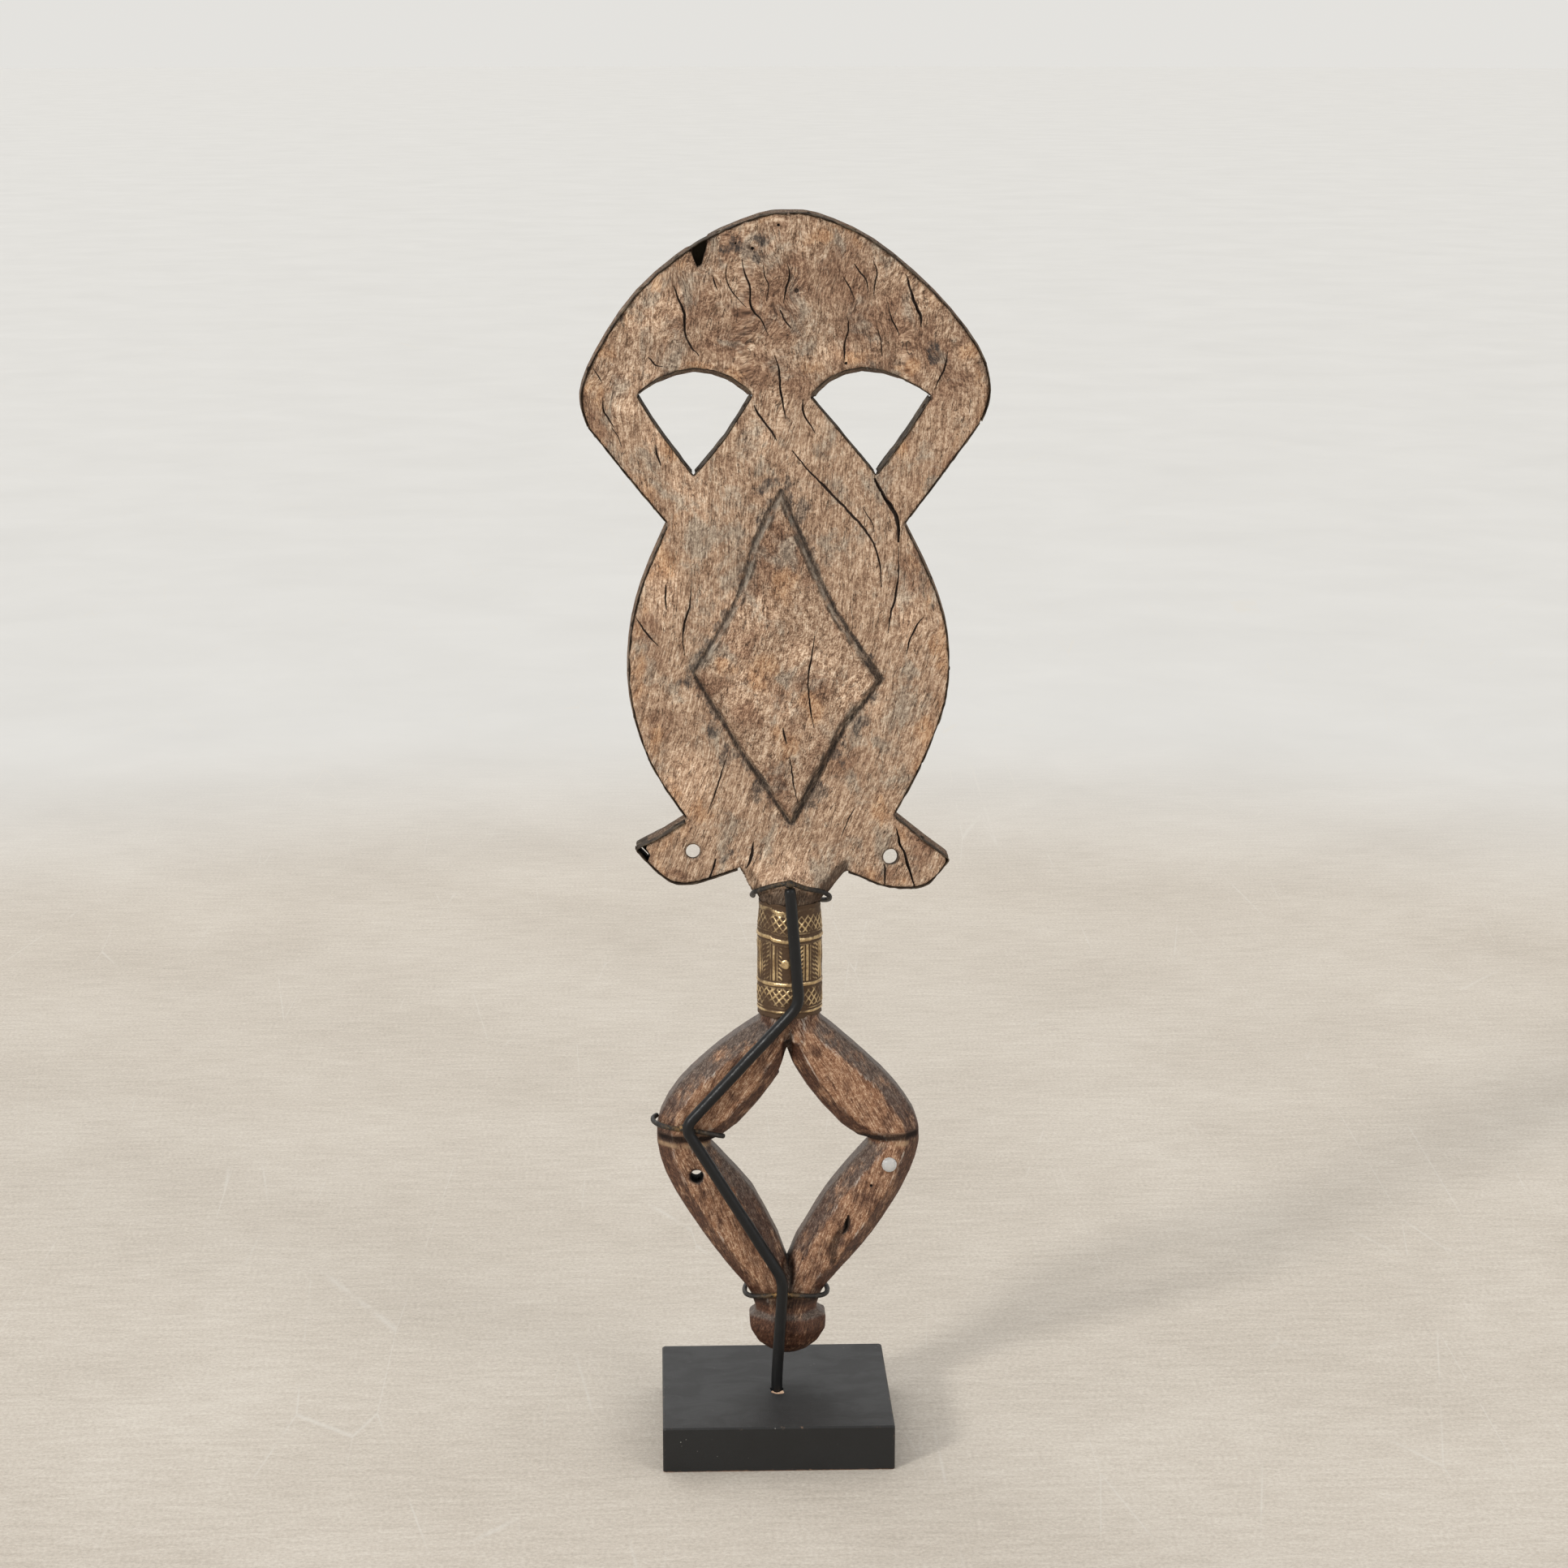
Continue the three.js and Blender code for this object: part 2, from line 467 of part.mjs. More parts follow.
function buildFrontSheets() {
  const covered = solid(slab([-THROUGH, THROUGH].map((y) => ({
    y,
    outer: offset(silhouette, -BOARD.frontInset),
    holes: [OPENING.left, OPENING.right].map((o) => offset(fanLoop(o.front), SHEET + GAP)),
  }))));
  const skin = (shift, thickness) => frontSpace(shift).subtract(frontSpace(shift + thickness));
  const plates = skin(GAP, SHEET).intersect(covered);
  const neckRoom = solid(loft([ellipse(276, 17.5, 17.5, 24), ellipse(289, 17.5, 17, 24),
    ellipse(294, 20.6, 15, 24), ellipse(300, 24, 12.4, 24), ellipse(312, 25.2, 7.5, 24)]));
  const nailHoles = [EYE.x, -EYE.x].map((x) => nailBore(x, THROUGH));
  const drilled = (body) => nailHoles.reduce((rest, hole) => rest.subtract(hole), body);
  const cut = (loop) => solid(prism(loop, -THROUGH, THROUGH));
  const mirrored = (loop, mirror) => (mirror > 0 ? loop : loop.map(([x, z]) => [-x, z]).reverse());
  const half = SEAM.gap / 2;
  const seam = SEAM.crescent;
  const [far, above] = [130, 660]; // beyond the figure's side and top

  piece('crescent_sheet', plates.intersect(cut([[-far, seam], [far, seam], [far, above],
    [-far, above]])), BRASS);
  const brow = BAND.brow;
  for (const [word, mirror] of [['left', 1], ['right', -1]]) {
    const fit = (loop) => cut(mirrored(loop, mirror));
    const foot = mirror > 0 ? [48.8, 506] : [44.4, 506];
    const waist = mirror > 0 ? [62.5, 484.5] : [58.5, 484];
    const chin = mirror > 0 ? [53.5, 331] : [54, 332];
    piece(`strut_sheet_${word}`, plates.intersect(fit([[waist[0] + half, waist[1] + half],
      [far, waist[1] + half], [far, seam - SEAM.gap], [foot[0] + 20, seam - SEAM.gap],
      [foot[0] + half, foot[1]]])), BRASS);
    piece(`face_sheet_upper_${word}`, drilled(plates.intersect(fit([[half, brow + half],
      [100, brow + half], [waist[0] + 20, waist[1] - 4], [waist[0] - half, waist[1]],
      [foot[0] - half, foot[1]], [foot[0] - 20, seam - SEAM.gap], [half, seam - SEAM.gap]]))), BRASS);
    piece(`face_sheet_lower_${word}`, drilled(plates.intersect(fit([[half, chin[1] + half],
      [far, chin[1] + half], [far, brow - half], [half, brow - half]]))), COPPER);
    const hole = bore(mirror > 0 ? BORES.pendantLeft : BORES.pendantRight, 0.4);
    piece(`pendant_sheet_${word}`, plates.intersect(fit([[half, 280], [far, 280],
      [far, chin[1] - half], [half, chin[1] - half]])).subtract(neckRoom).subtract(hole), BRASS);
  }

  const bandShift = 2 * GAP + SHEET;
  const bands = skin(bandShift, SHEET).intersect(covered);
  const { halfWidth, height } = BAND;
  piece('face_band_upright', bands.intersect(cut([[-halfWidth, 336], [halfWidth, 336], [halfWidth, 540],
    [-halfWidth, 540]])), COPPER);
  for (const [word, mirror] of [['left', 1], ['right', -1]]) {
    const start = halfWidth + SEAM.gap;
    const ends = [[start, brow - height], [75, brow - height * 0.7], [75, brow + height * 0.7],
      [start, brow + height]];
    piece(`face_band_${word}`, drilled(bands.intersect(cut(mirrored(ends, mirror)))), COPPER);
  }

  const nose = solid(slab([
    { y: -24, outer: [[-1.5, 398], [1.5, 398], [1.2, 402], [-1.2, 402]] },
    { y: 4, outer: [[-11, 389], [11, 389], [3, 452], [-3, 452]] },
  ])).intersect(frontSpace(bandShift + SHEET + GAP));
  piece('nose_ridge', nose, BRASS);
}

function buildEyes() {
  const surfaceY = -BOARD.half + DISH.depth
    * (1 - (EYE.x / DISH.halfWidth) ** 2 - ((EYE.z - DISH.centre[1]) / DISH.halfHeight) ** 2);
  const seat = surfaceY - 2 * SHEET - 3 * GAP;
  for (const [word, x] of [['left', EYE.x], ['right', -EYE.x]]) {
    const { radius, rise, nail, nailHole, nailDepth } = EYE;
    const dome = turnedBack([[nailHole, 6], [radius, 6], [radius, -0.8],
      [radius * 0.92, -rise * 0.45], [radius * 0.7, -rise * 0.8], [radius * 0.38, -rise * 0.97],
      [nailHole, -rise], [nailHole, 6]], 28, x, EYE.z).translate(0, seat, 0);
    piece(`eye_dome_${word}`, solid(dome).intersect(frontSpace(2 * SHEET + 3 * GAP)), BRASS);
    const head = seat - rise - GAP;
    const spike = turnedBack([[0, head - 2.2], [1.8, head - 1.9], [3.4, head - 0.9], [3.6, head],
      [nail, head], [nail, surfaceY + nailDepth - 2], [0, surfaceY + nailDepth - 1]], 14, x, EYE.z);
    piece(`eye_nail_${word}`, solid(spike), IRON);
  }
}

// A strip of sheet standing on edge, from its outer run at the front to its outer run at the back.
function edgeStrip(name, run, backRun = run, back = STRIP_BACK) {
  const section = (line) => [...line, ...offset(line, -SHEET, false).reverse()];
  const front = -BOARD.half - GAP - SHEET;
  piece(name, solid(slab([{ y: front, outer: section(run) }, { y: back, outer: section(backRun) }])),
    DARK_METAL);
}

// Shortens a run a little at both ends, so that neighbouring strips stay apart.
function trimmed(run, start = 0.5, end = 0.5) {
  const path = run.map((point) => [...point]);
  const pull = (at, towards, distance) => {
    const [a, b] = [path.at(at), path.at(towards)];
    const length = Math.hypot(b[0] - a[0], b[1] - a[1]);
    path[at < 0 ? path.length + at : at] = a.map((v, k) => v + ((b[k] - v) * distance) / length);
  };
  pull(0, 1, start);
  pull(-1, -2, end);
  return path;
}

function buildEdgeStrips() {
  for (const [word, side] of [['left', 'Left'], ['right', 'Right']]) {
    // Counter-clockwise seen from the front, so that each strip lies inside its run.
    const run = (name) => (side === 'Left' ? RUN[name + side] : descending(RUN[name + side]));
    edgeStrip(`crown_edge_${word}`, trimmed(run('crown')));
    edgeStrip(`strut_edge_${word}`, trimmed(run('strut'), 1.2, 0.5));
    edgeStrip(`cheek_edge_${word}`, trimmed(run('cheek'), 1.2, 1.2));
    edgeStrip(`pendant_edge_${word}`, trimmed(run('pendant'), 1.5, 1.2));
    const [face, strut] = side === 'Left' ? ['down', 'up'] : ['up', 'down'];
    for (const [part, line] of Object.entries({ arch: 'arch', face, strut })) {
      const { front, back } = OPENING[word];
      edgeStrip(`${part}_lining_${word}`, offset(trimmed(front[line], 1.6, 1.6), SHEET, false),
        offset(trimmed(back[line], 2.2, 2.2), -GAP, false));
    }
  }
}

buildBase();
buildStand();
buildBumper();
buildCore();
buildSleeve();
buildFrontSheets();
buildEyes();
buildEdgeStrips();

export default group;
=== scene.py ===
"""A carved guardian figure, clad in sheet brass in front and bare wood behind, held on a black
block by a bent rod with wire clips. Metres; the figure's bare back faces +Y, towards the camera."""
import math

import bmesh
import bpy
import numpy as np
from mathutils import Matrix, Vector, kdtree
from mathutils.geometry import delaunay_2d_cdt


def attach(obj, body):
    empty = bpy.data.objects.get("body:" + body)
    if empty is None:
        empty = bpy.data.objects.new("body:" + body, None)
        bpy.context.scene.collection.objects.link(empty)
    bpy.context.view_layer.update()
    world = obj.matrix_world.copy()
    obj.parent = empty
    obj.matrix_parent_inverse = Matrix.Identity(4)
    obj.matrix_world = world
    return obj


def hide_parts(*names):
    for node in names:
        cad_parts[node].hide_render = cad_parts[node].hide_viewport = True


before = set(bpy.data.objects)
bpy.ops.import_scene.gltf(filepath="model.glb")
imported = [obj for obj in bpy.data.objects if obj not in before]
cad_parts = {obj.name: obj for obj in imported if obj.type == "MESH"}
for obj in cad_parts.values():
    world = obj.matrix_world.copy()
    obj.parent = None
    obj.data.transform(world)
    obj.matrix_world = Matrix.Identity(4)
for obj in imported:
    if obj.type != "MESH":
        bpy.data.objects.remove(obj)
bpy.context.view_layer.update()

MM = 0.001

# ---------------------------------------------------------------- sizes, millimetres
FIGURE = np.array([-8.0, -14.3, 0.0])  # the figure's upright axis in the row frame
BOARD_HALF = 8.5  # half the plank's thickness, either side of the figure's axis
BOARD_BACK = FIGURE[1] + BOARD_HALF
RELIEF_RISE = 3.5
LEG_BACK = FIGURE[1] + 13.5
ANKLE_Z, KNEE_Z, HIP_Z = 72.0, 163.0, 228.0  # where shins, thighs and the neck's wood begin
CRESCENT_Z = (520.0, 560.0)  # where the grain starts to curl
KNEE_RING = {"z": 158.6, "slope": 0.06, "x": 57.0}  # the ring cut round each knee, painted dark as shade above a painted highlight on its lip
SHIN_BORE = (49.2, 137.5)  # figure-local mouth of the shin's bore, painted dark inside as shade
DISH = {"z": 415.0, "half_width": 64.0, "half_height": 78.0, "depth": 6.0}
SHEET_SHIFT = 0.7  # from the plank's front to the middle of the sheets on it
BAND_SHIFT = 1.8
SLEEVE = {"radius": 16.35, "inner": 16.0, "bottom": 226.5, "top": 286.8}
ROD_RADIUS = 3.0
BEND = 6.0  # how far before and after a corner the rod starts and stops bending
WIRE_RADIUS = 1.3
BEAD_RADIUS = 2.3
BUMPER = {"x": -52.0, "y": 13.8, "z": 145.7, "radius": 4.0, "flank": 0.25, "height": 2.4}
TACK_SPACING = 24.0
TACK_PROFILE = [(0, -0.1), (1.2, 0.05), (1.25, 0.3), (0.9, 0.55), (0.4, 0.68), (0, 0.7)]
EYE = {"x": 33.0, "z": 432.0, "rise": 5.5}
WOOD_VOXEL = 1.32
NOSE_VOXEL = 0.45
SHEET_GRID = 0.75
WOOD_FACES = 196000  # triangles left after the hidden front is thinned out
STRIP = {"front": FIGURE[1] - 9.6, "back": FIGURE[1] + 7.6, "thickness": 0.42}
FLOOR = {"radius": 30000.0, "sides": 96, "gap": 0.02, "near": 1150.0, "far": 2000.0}
CAMERA = {"at": (60.45, 1879.49, 757.65), "towards": (-0.0338, -0.9768, -0.2114), "lens": 86.02}


# ---------------------------------------------------------------- numbers: noise, curves, distances
def hashed(ix, iy, iz, seed):
    n = ix * 374761393 + iy * 668265263 + iz * 2147483629 + seed * 974634777
    n = (n ^ (n >> 13)) * 1274126177
    n = n ^ (n >> 16)
    return (n & 0xFFFF) / 32767.5 - 1.0


def noise(points, size, seed=0):
    """Smooth value noise from -1 to 1 at (n, 3) points; size is the length of one cell per axis."""
    p = np.asarray(points, float) / np.asarray(size, float) + 1000.0
    cell = np.floor(p).astype(np.int64)
    f = p - cell
    f = f * f * (3 - 2 * f)
    total = 0
    for dx in (0, 1):
        wx = f[:, 0] if dx else 1 - f[:, 0]
        for dy in (0, 1):
            wy = f[:, 1] if dy else 1 - f[:, 1]
            for dz in (0, 1):
                wz = f[:, 2] if dz else 1 - f[:, 2]
                total = total + wx * wy * wz * hashed(
                    cell[:, 0] + dx, cell[:, 1] + dy, cell[:, 2] + dz, seed)
    return total


def line_noise(s, size, seed=0):
    s = np.asarray(s, float)
    return noise(in_plane(s, 0 * s), size, seed)


def smoothstep(low, high, x):
    t = np.clip((x - low) / (high - low), 0, 1)
    return t * t * (3 - 2 * t)


def ridge(distance, half_width):
    """A rounded ridge, 1 on its crest and 0 beyond half_width."""
    t = np.clip(1 - (distance / half_width) ** 2, 0, 1)
    return np.sqrt(t)


def spline(points, per_span=6):
    """A smooth curve through the points."""
    p = np.asarray(points, float)
    p = np.vstack([2 * p[0] - p[1], p, 2 * p[-1] - p[-2]])
    out = []
    for i in range(1, len(p) - 2):
        a, b, c, d = p[i - 1], p[i], p[i + 1], p[i + 2]
        for t in np.arange(per_span) / per_span:
            out.append(0.5 * (2 * b + (c - a) * t + (2 * a - 5 * b + 4 * c - d) * t * t
                              + (3 * b - a - 3 * c + d) * t ** 3))
    out.append(p[-2])
    return np.array(out)


def lengths(points):
    return np.concatenate([[0], np.cumsum(np.linalg.norm(np.diff(points, axis=0), axis=1))])


def tangents(points):
    """The unit direction of a curve at each of its points."""
    along = np.gradient(points, axis=0)
    return along / np.linalg.norm(along, axis=1, keepdims=True)


def sideways(along):
    """The (x, z) directions square to a curve's tangents."""
    return np.stack([along[:, 1], -along[:, 0]], 1)


def turns(sides):
    """Angles an even step apart, once round."""
    return np.arange(sides) / sides * 2 * math.pi


def in_plane(x, z):
    """(n, 3) points at y = 0."""
    return np.stack([x, 0 * x, z], 1)


def resample(points, step):
    """The same curve with points an even step apart."""
    s = lengths(points)
    even = np.linspace(0, s[-1], max(2, round(s[-1] / step)) + 1)
    return np.stack([np.interp(even, s, points[:, k]) for k in range(points.shape[1])], 1)


def inside(points, loop):
    """True for the (n, 2) points that lie inside a closed loop."""
    x, z = points[:, 0], points[:, 1]
    odd = np.zeros(len(points), bool)
    for (ax, az), (bx, bz) in zip(loop, np.roll(loop, -1, 0)):
        if az == bz:
            continue
        hit = (az > z) != (bz > z)
        odd ^= hit & (x < ax + (z - az) * (bx - ax) / (bz - az))
    return odd


class Lines:
    """Distances to a set of curves in the XZ plane, and how far along them the nearest point is."""

    def __init__(self, curves, is_loop=True):
        dense = [resample(np.vstack([c, c[:1]]) if is_loop else c, 0.5) for c in curves]
        self.along = np.concatenate([lengths(c) for c in dense])
        points = np.vstack(dense)
        self.tree = kdtree.KDTree(len(points))
        for i, (x, z) in enumerate(points):
            self.tree.insert((x, 0, z), i)
        self.tree.balance()

    def near(self, points):
        found = [self.tree.find((x, 0, z)) for x, z in points]
        distance = np.array([f[2] for f in found])
        return distance, self.along[[f[1] for f in found]]


# ---------------------------------------------------------------- meshes
def new_object(name, vertices, faces, materials=(), smooth=True):
    """vertices in millimetres in the row frame."""
    mesh = bpy.data.meshes.new(name)
    mesh.from_pydata((np.asarray(vertices, float) * MM).tolist(), [], [list(f) for f in faces])
    for material in materials:
        mesh.materials.append(material)
    if smooth:
        mesh.shade_smooth()
    obj = bpy.data.objects.new(name, mesh)
    bpy.context.scene.collection.objects.link(obj)
    return obj


def coordinates(mesh):
    co = np.empty(len(mesh.vertices) * 3)
    mesh.vertices.foreach_get("co", co)
    return co.reshape(-1, 3) / MM


def set_coordinates(mesh, co):
    mesh.vertices.foreach_set("co", (co * MM).ravel())
    mesh.update()


def normals(mesh):
    no = np.empty(len(mesh.vertices) * 3, np.float32)
    mesh.vertex_normals.foreach_get("vector", no)
    return no.reshape(-1, 3).astype(float)


def mask(mesh, name, values):
    attribute = mesh.attributes.new(name, "FLOAT", "POINT")
    attribute.data.foreach_set("value", np.clip(values, 0, 1).astype(np.float32))


def cad_copy(node, name):
    """A new object with the CAD node's mesh, its shared corners joined."""
    obj = bpy.data.objects.new(name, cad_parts[node].data.copy())
    bpy.context.scene.collection.objects.link(obj)
    obj.data.materials.clear()
    bm = bmesh.new()
    bm.from_mesh(obj.data)
    bmesh.ops.remove_doubles(bm, verts=bm.verts, dist=2e-6)
    bmesh.ops.recalc_face_normals(bm, faces=bm.faces)
    bm.to_mesh(obj.data)
    bm.free()
    return obj


def apply_modifiers(obj):
    depsgraph = bpy.context.evaluated_depsgraph_get()
    mesh = bpy.data.meshes.new_from_object(obj.evaluated_get(depsgraph))
    old = obj.data
    obj.modifiers.clear()
    obj.data = mesh
    bpy.data.meshes.remove(old)
    return obj


def voxel_remesh(obj, size):
    remesh = obj.modifiers.new("remesh", "REMESH")
    remesh.mode = "VOXEL"
    remesh.voxel_size = size * MM
    return apply_modifiers(obj)


def discard(obj):
    mesh = obj.data
    bpy.data.objects.remove(obj)
    bpy.data.meshes.remove(mesh)


def combine(obj, other, operation):
    """Boolean of two closed meshes; the other one is used up."""
    modifier = obj.modifiers.new("join", "BOOLEAN")
    modifier.operation = operation
    modifier.solver = "MANIFOLD"
    modifier.object = other
    modifier.material_mode = "TRANSFER"
    apply_modifiers(obj)
    discard(other)
    return obj


def place(obj, body, nodes):
    """The piece rides on its body and stands for its CAD nodes."""
    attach(obj, body)
    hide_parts(*nodes)
    return obj


def tube_mesh(path, radius, sides):
    """Vertices and faces of a round bar along (n, 3) points; radius is one number or one per ring."""
    path = np.asarray(path, float)
    radius = np.broadcast_to(np.asarray(radius, float).reshape(-1, 1), (len(path), sides))
    tangent = tangents(path)
    side = np.cross((0, 1, 0), tangent[0])
    if np.linalg.norm(side) < 0.1:
        side = np.array([1.0, 0, 0])
    angle = turns(sides)
    vertices = []
    for point, t, r in zip(path, tangent, radius):
        side = side - side @ t * t
        side /= np.linalg.norm(side)
        up = np.cross(t, side)
        vertices.append(point + np.outer(r * np.cos(angle), side) + np.outer(r * np.sin(angle), up))
    vertices = np.vstack(vertices)
    count = len(path)
    faces = []
    for k in range(count - 1):
        for i in range(sides):
            j = (i + 1) % sides
            faces.append((k * sides + i, k * sides + j, (k + 1) * sides + j, (k + 1) * sides + i))
    faces.append(range(sides - 1, -1, -1))
    faces.append(range((count - 1) * sides, count * sides))
    return vertices, faces


def sheet_mesh(front, back):
    """A closed thin sheet between two (rows, columns, 3) grids of points."""
    rows, columns = front.shape[:2]
    size = rows * columns
    index = np.arange(size).reshape(rows, columns)
    a, b, c, d = index[:-1, :-1], index[1:, :-1], index[1:, 1:], index[:-1, 1:]
    quads = np.stack([a, b, c, d], -1).reshape(-1, 4)
    rim = np.concatenate([index[0, :-1], index[:-1, -1], index[-1, :0:-1], index[:0:-1, 0]])
    walls = np.stack([rim, np.roll(rim, -1), np.roll(rim, -1) + size, rim + size], 1)
    faces = np.vstack([quads, quads[:, ::-1] + size, walls])
    return np.vstack([front.reshape(-1, 3), back.reshape(-1, 3)]), faces


def fix_normals(obj):
    bm = bmesh.new()
    bm.from_mesh(obj.data)
    bmesh.ops.recalc_face_normals(bm, faces=bm.faces)
    bm.to_mesh(obj.data)
    bm.free()
    return obj


def turned_mesh(profile, centre, axis, sides):
    """A closed turned body: profile of (radius, height) from one end to the other, both on the axis."""
    u, v, w = axis
    profile = np.asarray(profile, float)
    angle = turns(sides)
    ring = np.outer(np.cos(angle), u) + np.outer(np.sin(angle), v)
    vertices = [centre + profile[0, 1] * np.array(w)]
    for r, h in profile[1:-1]:
        vertices.extend(centre + r * ring + h * np.array(w))
    vertices.append(centre + profile[-1, 1] * np.array(w))
    faces = []
    last = len(vertices) - 1
    for k in range(len(profile) - 2):
        for i in range(sides):
            j = (i + 1) % sides
            a, b = 1 + k * sides + i, 1 + k * sides + j
            if k == 0:
                faces.append((0, b, a))
            if k == len(profile) - 3:
                faces.append((last, a, b))
            else:
                faces.append((a, b, b + sides, a + sides))
    return np.array(vertices), faces


ALONG_Y = ((1, 0, 0), (0, 0, 1), (0, 1, 0))
ALONG_Z = ((1, 0, 0), (0, 1, 0), (0, 0, 1))


def ball_mesh(radius, rings, sides):
    profile = [(radius * math.sin(t), -radius * math.cos(t)) for t in np.linspace(0, math.pi, rings)]
    profile[0], profile[-1] = (0, -radius), (0, radius)
    return turned_mesh(profile, np.zeros(3), ALONG_Z, sides)


def outlines(obj, chosen):
    """The closed outlines, (n, 2) arrays of x and z, round the faces that chosen picks, largest first."""
    bm = bmesh.new()
    bm.from_mesh(obj.data)
    bm.normal_update()
    follow = {}
    for edge in bm.edges:
        if len(edge.link_faces) == 2 and chosen(edge.link_faces[0]) != chosen(edge.link_faces[1]):
            a, b = edge.verts
            follow.setdefault(a.index, []).append(b.index)
            follow.setdefault(b.index, []).append(a.index)
    points = {v.index: (v.co.x / MM, v.co.z / MM) for v in bm.verts}
    bm.free()
    loops, used = [], set()
    for start in sorted(follow):
        if start in used:
            continue
        loop, at = [start], start
        used.add(start)
        while True:
            ahead = [v for v in follow[at] if v not in used]
            if not ahead:
                break
            at = ahead[0]
            used.add(at)
            loop.append(at)
        loops.append(np.array([points[i] for i in loop]))
    return sorted(loops, key=lambda loop: -np.prod(np.ptp(loop, axis=0)))


def plane_loops(obj, y):
    """The outlines of a mesh's flat faces at one y."""
    return outlines(obj, lambda face: all(abs(v.co.y - y * MM) < 2e-5 for v in face.verts))


def without_arch(loop):
    """The plank's outline, open at the bottom where the rounded neck comes out of its back."""
    top = np.argmin(np.hypot(loop[:, 0] - FIGURE[0], loop[:, 1] - 308))
    loop = np.roll(loop, -int(top), 0)
    return loop[(np.abs(loop[:, 0] - FIGURE[0]) > 17) | (loop[:, 1] > 330)]


def front_loops(node):
    """The outlines of a CAD sheet seen from the front."""
    copy = cad_copy(node, "outline")
    loops = outlines(copy, lambda face: face.normal.y < -0.5)
    discard(copy)
    return loops


# ---------------------------------------------------------------- shaders
class Shader:
    """A node material in object coordinates, with sizes in millimetres."""

    def __init__(self, name):
        self.material = bpy.data.materials.new(name)
        self.material.use_nodes = True
        self.tree = self.material.node_tree
        self.tree.nodes.clear()
        output = self.tree.nodes.new("ShaderNodeOutputMaterial")
        self.surface = self.tree.nodes.new("ShaderNodeBsdfPrincipled")
        self.tree.links.new(self.surface.outputs[0], output.inputs[0])
        coordinates_node = self.tree.nodes.new("ShaderNodeTexCoord")
        self.mm = self.scaled(coordinates_node.outputs["Object"], (MM, MM, MM))

    def put(self, socket, value):
        if isinstance(value, bpy.types.NodeSocket):
            self.tree.links.new(value, socket)
        elif value is not None:
            socket.default_value = value

    def node(self, kind, values, **properties):
        node = self.tree.nodes.new(kind)
        for key, value in properties.items():
            setattr(node, key, value)
        for key, value in values.items():
            self.put(node.inputs[key], value)
        return node

    def by_axis(self, operation, vector, other):
        return self.node("ShaderNodeVectorMath", {0: vector, 1: other}, operation=operation).outputs[0]

    def scaled(self, vector, size):
        """The vector divided by a size, which is one number or one per axis."""
        size = (size,) * 3 if isinstance(size, (int, float)) else size
        return self.by_axis("DIVIDE", vector, size)

    def axis(self, name):
        return self.node("ShaderNodeSeparateXYZ", {0: self.mm}).outputs[name]

    def noise(self, size, detail=3.0, roughness=0.55, distortion=0.0, vector=None):
        node = self.node("ShaderNodeTexNoise", {
            "Vector": self.scaled(vector or self.mm, size), "Scale": 1.0, "Detail": detail,
            "Roughness": roughness, "Distortion": distortion})
        return node.outputs[0]

    def cells(self, size, feature="F1"):
        values = {"Vector": self.scaled(self.mm, size), "Scale": 1.0}
        return self.node("ShaderNodeTexVoronoi", values, feature=feature).outputs["Distance"]

    def math(self, operation, a, b=None, c=None):
        values = {k: v for k, v in enumerate((a, b, c)) if v is not None}
        return self.node("ShaderNodeMath", values, operation=operation).outputs[0]

    def mul(self, *factors):
        total = factors[0]
        for factor in factors[1:]:
            total = self.math("MULTIPLY", total, factor)
        return total

    def add(self, *terms):
        total = terms[0]
        for term in terms[1:]:
            total = self.math("ADD", total, term)
        return total

    def swing(self, value, gain):
        """A noise value turned into a swing either side of nought."""
        return self.mul(self.math("SUBTRACT", value, 0.5), gain)

    def range(self, value, low, high, to_low=0.0, to_high=1.0):
        """A smooth step from to_low at low to to_high at high."""
        node = self.node("ShaderNodeMapRange", {
            "Value": value, "From Min": low, "From Max": high, "To Min": to_low, "To Max": to_high},
            interpolation_type="SMOOTHSTEP")
        return node.outputs[0]

    def ramp(self, value, stops):
        node = self.node("ShaderNodeValToRGB", {0: value})
        elements = node.color_ramp.elements
        while len(elements) < len(stops):
            elements.new(1.0)
        for element, (position, colour) in zip(elements, stops):
            element.position = position
            element.color = (*colour, 1.0)
        return node.outputs[0]

    def mix(self, factor, a, b):
        a, b = [(*v, 1.0) if isinstance(v, tuple) else v for v in (a, b)]
        return self.node("ShaderNodeMix", {0: factor, 6: a, 7: b}, data_type="RGBA").outputs[2]

    def attribute(self, name):
        return self.node("ShaderNodeAttribute", {}, attribute_name=name).outputs["Fac"]

    def vector(self, name):
        return self.node("ShaderNodeAttribute", {}, attribute_name=name).outputs["Vector"]

    def brighten(self, colour, amount):
        return self.node("ShaderNodeVectorMath", {0: colour, "Scale": amount}, operation="SCALE").outputs[0]

    def upward(self):
        """How far the surface faces up, from -1 to 1."""
        geometry = self.tree.nodes.new("ShaderNodeNewGeometry")
        return self.node("ShaderNodeSeparateXYZ", {0: geometry.outputs["Normal"]}).outputs["Z"]

    def bump(self, height, distance, strength=1.0):
        values = {"Height": height, "Distance": distance * MM, "Strength": strength}
        return self.node("ShaderNodeBump", values).outputs[0]

    def finish(self, colour, roughness, normal=None, **plain):
        """plain values go straight on the shader's own sockets."""
        self.put(self.surface.inputs["Base Color"], colour)
        self.put(self.surface.inputs["Roughness"], roughness)
        self.put(self.surface.inputs["Normal"], normal)
        for key, value in plain.items():
            self.put(self.surface.inputs[key.replace("_", " ")], value)
        return self.material


